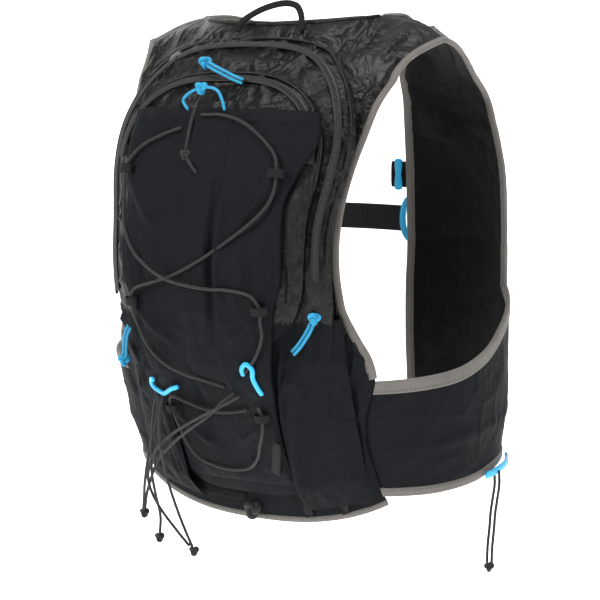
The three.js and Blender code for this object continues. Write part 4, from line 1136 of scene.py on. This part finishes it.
def tape_along(name, surface, edge, inside, width, key="tape"):
    """Folded tape over an edge: a rounded flat section whose centre lies half a width inwards."""
    thick = bpy.context.scene.vest_sizes.tape / MM
    at_edge, inwards, up = edge_frame(surface, edge, inside)
    profile = round_profile(18, width / 2, thick, 3.2)
    along = np.concatenate([[0], np.cumsum(np.linalg.norm(np.diff(at_edge, axis=0), axis=1))])
    pucker = 1 + 0.06 * np.sin(along * 1.9) * soft_noise(along / 9, along * 0, 4)
    centre = at_edge + inwards * (width / 2 - TAPE_OVER)
    rings = (centre[:, None] + inwards[:, None] * profile[None, :, :1]
             + up[:, None] * profile[None, :, 1:] * pucker[:, None, None])
    piece = ring_piece(f"{name}_tape", rings, key)
    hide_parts(name)
    return piece


class VEST_OT_bindings(bpy.types.Operator):
    """Fold the grey tape over every edge of the panels and wings"""

    bl_idname = "vest.bindings"
    bl_label = "Binding tape"

    def execute(self, context):
        for label, side in (("left", 1), ("right", -1)):
            front = front_panel(side)
            flank = wing(side)
            hem = HEM_MIDDLE - 0.055
            low = (0.674 - hem) / (TOP_DOWN - hem)
            v = np.linspace(low, 1, 150)
            over_back = edge_frame(BACK, (side + 0 * v, v), (side * 0.94 + 0 * v, v))
            w = np.linspace(1, 3.3 / FRONT_SPANS, 150)[1:]
            down_front = edge_frame(front, (1 + 0 * w, w), (0.925 + 0 * w, w))
            edge, inwards, up = [np.vstack(pair) for pair in zip(over_back, down_front)]
            along = np.linspace(0, 1, len(edge))
            wide = 3.1 + 2.0 * step(0.62, 0.95, along) + 0.7 * step(0.1, 0, along)
            thick = context.scene.vest_sizes.tape / MM
            profile = round_profile(18, 1.0, thick, 3.2)
            pucker = 1 + 0.1 * soft_noise(along * 90, along * 0, 8)
            rings = (edge[:, None]
                     + inwards[:, None] * ((profile[None, :, :1] + 1) * wide[:, None, None] - TAPE_OVER)
                     + up[:, None] * profile[None, :, 1:] * pucker[:, None, None])
            piece = ring_piece(f"armhole_tape_{label}", rings, "tape")
            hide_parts(f"armhole_binding_{label}")
            v = np.linspace(0.022, 1, 200)
            tape_along(f"centre_binding_{label}", front, (0 * v, v), (0.075 + 0 * v, v), CENTRE_TAPE)
            s = np.linspace(0.075, 1, 60)
            tape_along(f"front_hem_binding_{label}", front, (s, 0 * s), (s, 0.022 + 0 * s), FRONT_HEM_TAPE)
            s = np.linspace(0.035, 0.985, 120)
            tape_along(f"wing_top_binding_{label}", flank, (s, 1 + 0 * s), (s, 0.92 + 0 * s), WING_TOP_TAPE)
            tape_along(f"wing_hem_binding_{label}", flank, (s, 0 * s), (s, 0.08 + 0 * s), WING_HEM_TAPE)
        s = np.linspace(-1, 1, 200)
        tape_along("back_hem_binding", BACK, (s, 0 * s), (s, 0.02 + 0 * s), BACK_HEM_TAPE)
        s = np.linspace(-0.575, 0.575, 140)
        tape_along("neck_binding", BACK, (s, 1 + 0 * s), (s, 0.98 + 0 * s), NECK_TAPE, "nylon")
        return {"FINISHED"}


class VEST_OT_pouches(bpy.types.Operator):
    """Raise the two zipped pouches on the back, with their piping and zips"""

    bl_idname = "vest.pouches"
    bl_label = "Zipped pouches"

    def execute(self, context):
        crease = context.scene.vest_sizes.crease / MM
        for name, at, seed, columns in (("main_pouch", main_pouch_at, 41, 300),
                                        ("second_pouch", second_pouch_at, 57, 240)):
            s, v = np.meshgrid(np.linspace(0, 1, columns, endpoint=False), np.linspace(0, 0.96, 60) ** 1.9,
                               indexing="ij")
            flat, x, z = at(s, v)
            closed = np.concatenate([flat[-1:], flat, flat[:1]])
            normal = outward_normals(closed)[1:-1]
            covered = step(6, -2, np.abs(x) - pocket_half(np.maximum(z, POCKET_TOP))) * step(80, 92, z)
            wall_share = step(0, 0.02, v)
            seam = np.exp(-((v - 0.055) / 0.012) ** 2)
            gathers = (np.sin(s * 2 * np.pi * 46 + 3 * soft_noise(s * 30, v * 0, seed))
                       * np.exp(-((v - 0.03) / 0.03) ** 2))
            height = (crumple(x + 40 * v, z, 30, seed) * crease * 1.1 * wall_share
                      + gathers * 0.35 + seam * 0.5)
            points = flat + normal * (height * (1 - covered))[..., None]
            piece = grid_piece(f"{name}_cloth", points, "nylon", round_rows=True, wall=1.2)
            second_finish(piece, "stretch", lambda x: 0 * x - 0.238)
            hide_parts(name)
        place = 0.075
        for name, at, low, lift in (("main_zip", main_pouch_at, 0.2, 2.2),
                                    ("second_zip", second_pouch_at, 0.3, 2)):
            s = np.linspace(low, 1 - low, 90)
            path = at(s, place + 0 * s)[0]
            inner = at(s, place + 0.05 + 0 * s)[0]
            outer = at(s, place - 0.03 + 0 * s)[0]
            out = unit(np.cross(np.gradient(path, axis=0), inner - outer))
            out = out * np.sign((out * (path - np.array([0, 0, -200.0]))).sum(axis=1, keepdims=True))
            path = path + out * lift

            def outwards(points, places=path, values=out):
                return nearest(points, places, values)

            piece = swept(name + "_strip", path, outwards, round_profile(20, 3.2, 0.8, 4), "zip", 220,
                          rounding=2.0)
            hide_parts(name)
            piping = at(s, 0.022 + 0 * s)[0]
            swept(name + "_piping", piping + out * 1.0, outwards, round_profile(10, 1.25), "nylon", 260)
        return {"FINISHED"}


def nearest(points, places, values):
    """The value at the place that lies nearest to each point."""
    gap = ((points[:, None] - places[None]) ** 2).sum(axis=2)
    return values[gap.argmin(axis=1)]


def cord_distance(x, z):
    """Distance in millimetres to the nearest lacing cord, seen flat on the back."""
    best = np.full(x.shape, 1e3)
    for route in LACING.values():
        for px, pz, lift in through(route, 90):
            best = np.minimum(best, np.hypot(x - px, z - pz) + lift)
    return best


class VEST_OT_pockets(bpy.types.Operator):
    """Stretch the open pockets over the pouches, beside them and on the chest"""

    bl_idname = "vest.pockets"
    bl_label = "Stretch pockets"

    def execute(self, context):
        swell = context.scene.vest_sizes.swell / MM
        s, v = np.meshgrid(np.linspace(-1, 1, 170), np.linspace(0, 1, 230), indexing="ij")
        z = POCKET_BOTTOM + (POCKET_TOP - POCKET_BOTTOM) * v
        x = s * np.where(s > 0, np.minimum(pocket_half(z), LEFT_REACH), pocket_half(z))
        rim = step(0, 0.06, 1 - np.abs(s)) * step(0, 0.05, v)
        pressed = np.exp(-((cord_distance(x, z) - 1) / 4.5) ** 2)
        soft = soft_noise(x / 24, z / 40, 61) * swell + crumple(x + z * 0.2, z * 0.5, 40, 66) * swell * 0.9
        band = step(0.966, 0.972, v) * 0.7 - np.exp(-((v - 0.965) / 0.004) ** 2) * 0.5
        side_seam = (-0.8 * np.exp(-((np.abs(s) - 0.955) / 0.012) ** 2)
                     - 3.5 * step(0.9, 1, s) * step(190, 150, z))
        gathers = np.sin(x / 3.6 + 1.5 * soft_noise(x / 14, z * 0, 62)) * step(335, 374, z) * 0.9
        waves = soft + gathers + 2.6 * folds(x, z, POCKET_FOLDS)
        height = waves * rim - pressed * 1.1 * rim + band + side_seam
        points = out_of_back(x, z / HEIGHT, pocket_height(x, z) + POUCH_WALL + height)
        piece = grid_piece("stretch_pocket_cloth", points, "stretch", wall=1.1)
        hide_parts("stretch_pocket")
        declared_sheet(points)
        for label, side in (("left", 1), ("right", -1)):
            s, v = np.meshgrid(np.linspace(0, 1, 50), np.linspace(0, 1, 90), indexing="ij")
            bottom = SIDE_POCKET_BOTTOM - 12 * s
            z = bottom + (SIDE_POCKET_TOP - bottom) * v
            start = pocket_half(z) + POUCH_WALL
            x = start + (SIDE_POCKET_EDGE - start) * s
            share = (1 - (x / (SIDE_POCKET_EDGE + POUCH_WALL)) ** 3) ** 0.7 * step(0, 0.16, v) ** 0.6
            share = share * (1 - 0.3 * step(0.75, 1, v))
            rim = step(0, 0.1, s) * step(0, 0.08, 1 - s) * step(0, 0.08, v)
            soft = (soft_noise(x / 11 + z / 70, z / 110, 71) * 3.6
                    + crumple(x * 1.1 + z * 0.2, z * 0.4, 28, 73) * 2.2)
            band = step(0.945, 0.955, v) * 0.6
            height = PANEL_TOP + (main_depth(z) + 2 * POUCH_WALL) * share + POUCH_WALL + soft * rim + band
            points = out_of_back(side * x, z / HEIGHT, height)
            piece = grid_piece(f"side_pocket_cloth_{label}", points, "stretch", wall=1.1)
            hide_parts(f"side_pocket_{label}")
            declared_sheet(points)
            surface = front_panel(side)
            s, v = np.meshgrid(np.linspace(0, 1, 50), np.linspace(0, 1, 100), indexing="ij")
            belly = 6 * (1 - (2 * s - 1) ** 4) ** 0.25 * np.minimum(v * 3, 1) ** 0.5
            rim = step(0, 0.1, s) * step(0, 0.1, 1 - s) * step(0, 0.08, v)
            soft = soft_noise(s * 4, v * 6, 81) * 1.2 * rim + step(0.955, 0.965, v) * 0.6
            height = PANEL_TOP + belly + POUCH_WALL + soft
            points = raised(surface, 0.16 + 0.68 * s, (0.8 + 5.6 * v) / FRONT_SPANS, height)
            piece = grid_piece(f"front_pocket_cloth_{label}", points, "stretch", wall=1.1)
            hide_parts(f"front_pocket_{label}")
            declared_sheet(points)
        return {"FINISHED"}


class VEST_OT_straps(bpy.types.Operator):
    """Add the chest strap with its rails, hooks and buckle, the hanging loop and the webbing"""

    bl_idname = "vest.straps"
    bl_label = "Straps and hooks"

    def execute(self, context):
        for label, side in (("left", 1), ("right", -1)):
            s, v = np.meshgrid(np.linspace(0, 1, 6), np.linspace(0, 1, 90), indexing="ij")
            points = raised(front_panel(side), 0.095 + 0.05 * s, (4 + 4.4 * v) / FRONT_SPANS,
                            PANEL_TOP + 1.2 + 0 * s)
            piece = grid_piece(f"rail_{label}", points, "elastic", wall=1.2)
            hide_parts(f"strap_rail_{label}")
        down = STRAP_DOWN / HEIGHT
        chest = float(body_at(np.array(HOOK_MIDDLE - HOOK_REACH), np.array(down), -1)[1])
        depth = chest - 3.9 - HOOK_WIRE / 2 - 0.3
        end = HOOK_MIDDLE - HOOK_REACH - 0.5
        t = np.linspace(-1, 1, 9)
        across = -end + (t + 1) * (end + LEFT_SHIFT / 2)
        strap = np.column_stack([across, depth - 4 * (1 - t * t), 0 * t - STRAP_DOWN])
        piece = swept("chest_strap", strap, (0, -1, 0), round_profile(16, STRAP_HALF, 0.9, 5), "elastic", 120)
        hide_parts("sternum_strap")
        for label, side in (("right", -1), ("left", 1)):
            start = math.pi if side < 0 else 0
            spread = LEFT_SHIFT * max(side, 0)
            turn = np.linspace(start + 0.5, start + 2 * math.pi - 0.5, 14)
            across = side * (HOOK_MIDDLE + spread) + HOOK_REACH * np.cos(turn)
            hook = np.column_stack([across, depth + 0 * turn, -STRAP_DOWN + 18 * np.sin(turn)])
            piece = swept(f"chest_hook_{label}", hook, (0, -1, 0), round_profile(14, 2.9, 1.7, 3.4),
                          "plastic", 90,
                          rounding=1.8)
            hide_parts(f"sternum_hook_{label}")
        middle = np.array([-24, depth + 1.4, -STRAP_DOWN + 39])
        buckle = middle + np.column_stack([0 * t, 0 * t, t * 14])
        piece = swept("rail_buckle", buckle, (0, -1, 0), round_profile(18, 3.6, 1.6, 4), "plastic", 60,
                      rounding=1.6,
                      pinch=lambda a: 1 - 0.22 * np.exp(-((a - 0.5) / 0.16) ** 2))
        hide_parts("sternum_buckle")
        across = np.column_stack([-42 + (t + 1) * 13.5, 0 * t + middle[1] - 2.4, 0 * t + middle[2]])
        swept("webbing_end", across, (0, -1, 0), round_profile(16, STRAP_HALF, 0.7, 5), "webbing", 40)
        for number, x in enumerate((-51.0, -83.0), 1):
            hem = HEM_MIDDLE - 0.055 * (abs(x) / 117) ** 2.5
            down = hem + np.array([-0.036, -0.028, -0.02, -0.01, -0.018, -0.026])
            lift = np.array([2.4, 3.0, 2.6, 1.2, 0.2, -0.4]) + 1
            path = out_of_back(x, down, lift)
            path[:, 2] = -down * HEIGHT
            swept(f"hem_tab_{number}", path, (0, 1, 0.3), round_profile(14, 4.2, 0.6, 5), "webbing", 50)
        piece = swept("hanging_loop", HAUL, (0, 1, 0.25), round_profile(18, 2.7, 0.8, 5), "webbing", 140)
        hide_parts("haul_loop")
        piece = swept("front_hook", FRONT_HOOK, (-1, 0, 0), round_profile(14, 3, 1.6, 3), "plastic", 70,
                      rounding=1.8)
        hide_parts("front_hook_right")
        hem = np.array([(44, 392, 1.4), (30, 393, 1.4), (16, 394, 1.6), (6, 394, 2)])
        path = out_of_back(hem[:, 0], hem[:, 1] / HEIGHT, PANEL_TOP + hem[:, 2])
        piece = swept("hem_strap", path, (0, 1, 0.3), round_profile(14, 4, 0.8, 5), "webbing", 50)
        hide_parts("hem_webbing")
        strip = np.array([(-46, 331), (-44, 342), (-41, 352), (-38, 361)])
        path = on_pack(strip[:, 0], strip[:, 1], 2.2)
        piece = swept("pack_strap", path, (0, 1, 0.2), round_profile(14, 4.5, 0.8, 5), "elastic", 50)
        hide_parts("pack_webbing")
        lock = out_of_back(np.array(0.0), np.array(404 / HEIGHT), np.array(PANEL_TOP + 5.1)) * MM
        piece = knot("hem_lock", lock, HEM_LOCK, "cord", 0.2)
        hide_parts("hem_cord_lock")
        return {"FINISHED"}


class VEST_OT_lacing(bpy.types.Operator):
    """Thread the elastic lacing through its fabric loops, down to the two blue hooks"""

    bl_idname = "vest.lacing"
    bl_label = "Lacing"

    def execute(self, context):
        diameter = context.scene.vest_sizes.cord / MM
        for name, route in LACING.items():
            table = np.array(route)
            path = on_pack(table[:, 0], table[:, 1], diameter / 2 + table[:, 2])
            piece = swept(name, path, (0, 1, 0.2), round_profile(10, diameter / 2), "cord", 320)
            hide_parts(name)
        for key, (aside, down) in LACING_LOOPS.items():
            for label, side in (("left", 1), ("right", -1)):
                turn = np.linspace(0, 2 * math.pi, 14, endpoint=False)
                ring = on_pack(side * aside + 5.5 * np.cos(turn), down + 0 * turn, 4.9 + 3.2 * np.sin(turn))
                middle = ring.mean(axis=0)
                piece = swept(f"fabric_loop_{key}_{label}", ring, lambda p, m=middle: p - m,
                              round_profile(12, 3.3, 0.55, 4), "webbing", 48, closed=True)
                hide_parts(f"lacing_loop_{key}_{label}")
        for name, (lift, route) in POLE_HOOKS.items():
            table = np.array(route)
            path = on_pack(table[:, 0], table[:, 1], HOOK_WIRE / 2 + lift)
            piece = swept(f"{name}_moulded", path, (0, 1, 0), round_profile(14, 1.9, 1.6, 2.6), "plastic", 80,
                          rounding=1.8)
            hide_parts(name)
        return {"FINISHED"}


class VEST_OT_stage(bpy.types.Operator):
    """Set up the pale floor and the soft studio light"""

    bl_idname = "vest.stage"
    bl_label = "Stage"

    def execute(self, context):
        aside = np.linspace(-5, 5, 3)
        reach = np.linspace(0, 1, 60)
        bend = np.clip((reach - 0.5) / 0.2, 0, 1) * math.pi / 2
        forward = np.minimum(reach, 0.5) * 9 - 2.2 + np.sin(bend) * 0.9
        up = (1 - np.cos(bend)) * 0.9 + np.maximum(reach - 0.7, 0) * 14
        view = np.array([0.5446, -0.8387])
        across = np.array([view[1], -view[0]])
        a, b = np.meshgrid(aside, np.arange(60), indexing="ij")
        ground = a[..., None] * across + forward[b][..., None] * view
        points = np.concatenate([ground, (up[b] - 0.62)[..., None]], axis=2)
        mesh = bpy.data.meshes.new("floor")
        index = np.arange(180).reshape(3, 60)
        corners = [index[:-1, :-1], index[:-1, 1:], index[1:, 1:], index[1:, :-1]]
        quads = np.stack(corners, axis=2).reshape(-1, 4)
        mesh.from_pydata(points.reshape(-1, 3).tolist(), [], quads.tolist())
        shade_smooth(mesh)
        mesh.materials.append(stage_finish("stage", (0.9, 0.9, 0.9), 0.95))
        floor = bpy.data.objects.new("floor", mesh)
        context.scene.collection.objects.link(floor)
        world = bpy.data.worlds.new("studio")
        world.use_nodes = True
        sky = world.node_tree.nodes["Background"]
        sky.inputs[0].default_value = (1, 1, 1, 1)
        sky.inputs[1].default_value = 0.24
        context.scene.world = world
        for name, place, size, power in LAMPS:
            light = bpy.data.lights.new(name, "AREA")
            light.size = size
            light.energy = power
            lamp = bpy.data.objects.new(name, light)
            lamp.location = place
            aim = Vector((0, 0.03, -0.2)) - lamp.location
            lamp.rotation_euler = aim.to_track_quat("-Z", "Y").to_euler()
            context.scene.collection.objects.link(lamp)
        context.scene.view_settings.view_transform = "Standard"
        return {"FINISHED"}


OPERATORS = (VEST_OT_camera, VEST_OT_cords, VEST_OT_panels, VEST_OT_bindings, VEST_OT_pouches,
             VEST_OT_pockets,
             VEST_OT_straps, VEST_OT_lacing, VEST_OT_stage)


class VEST_PT_build(bpy.types.Panel):
    """Sidebar panel with the sizes, the colours and one button for each group of pieces"""

    bl_label = "Hydration vest"
    bl_space_type = "VIEW_3D"
    bl_region_type = "UI"
    bl_category = "Vest"

    def draw(self, context):
        for group in (context.scene.vest_sizes, context.scene.vest_colours):
            for key in group.__annotations__:
                self.layout.prop(group, key)
        for operator in OPERATORS:
            self.layout.operator(operator.bl_idname)


CLASSES = (VestSizes, VestColours, *OPERATORS, VEST_PT_build)


def register():
    for item in CLASSES:
        bpy.utils.register_class(item)
    bpy.types.Scene.vest_sizes = bpy.props.PointerProperty(type=VestSizes)
    bpy.types.Scene.vest_colours = bpy.props.PointerProperty(type=VestColours)


def unregister():
    del bpy.types.Scene.vest_colours
    del bpy.types.Scene.vest_sizes
    for item in reversed(CLASSES):
        bpy.utils.unregister_class(item)


def main():
    register()
    for operator in OPERATORS:
        getattr(bpy.ops.vest, operator.bl_idname.split(".")[1])()


if __name__ == "__main__":
    main()
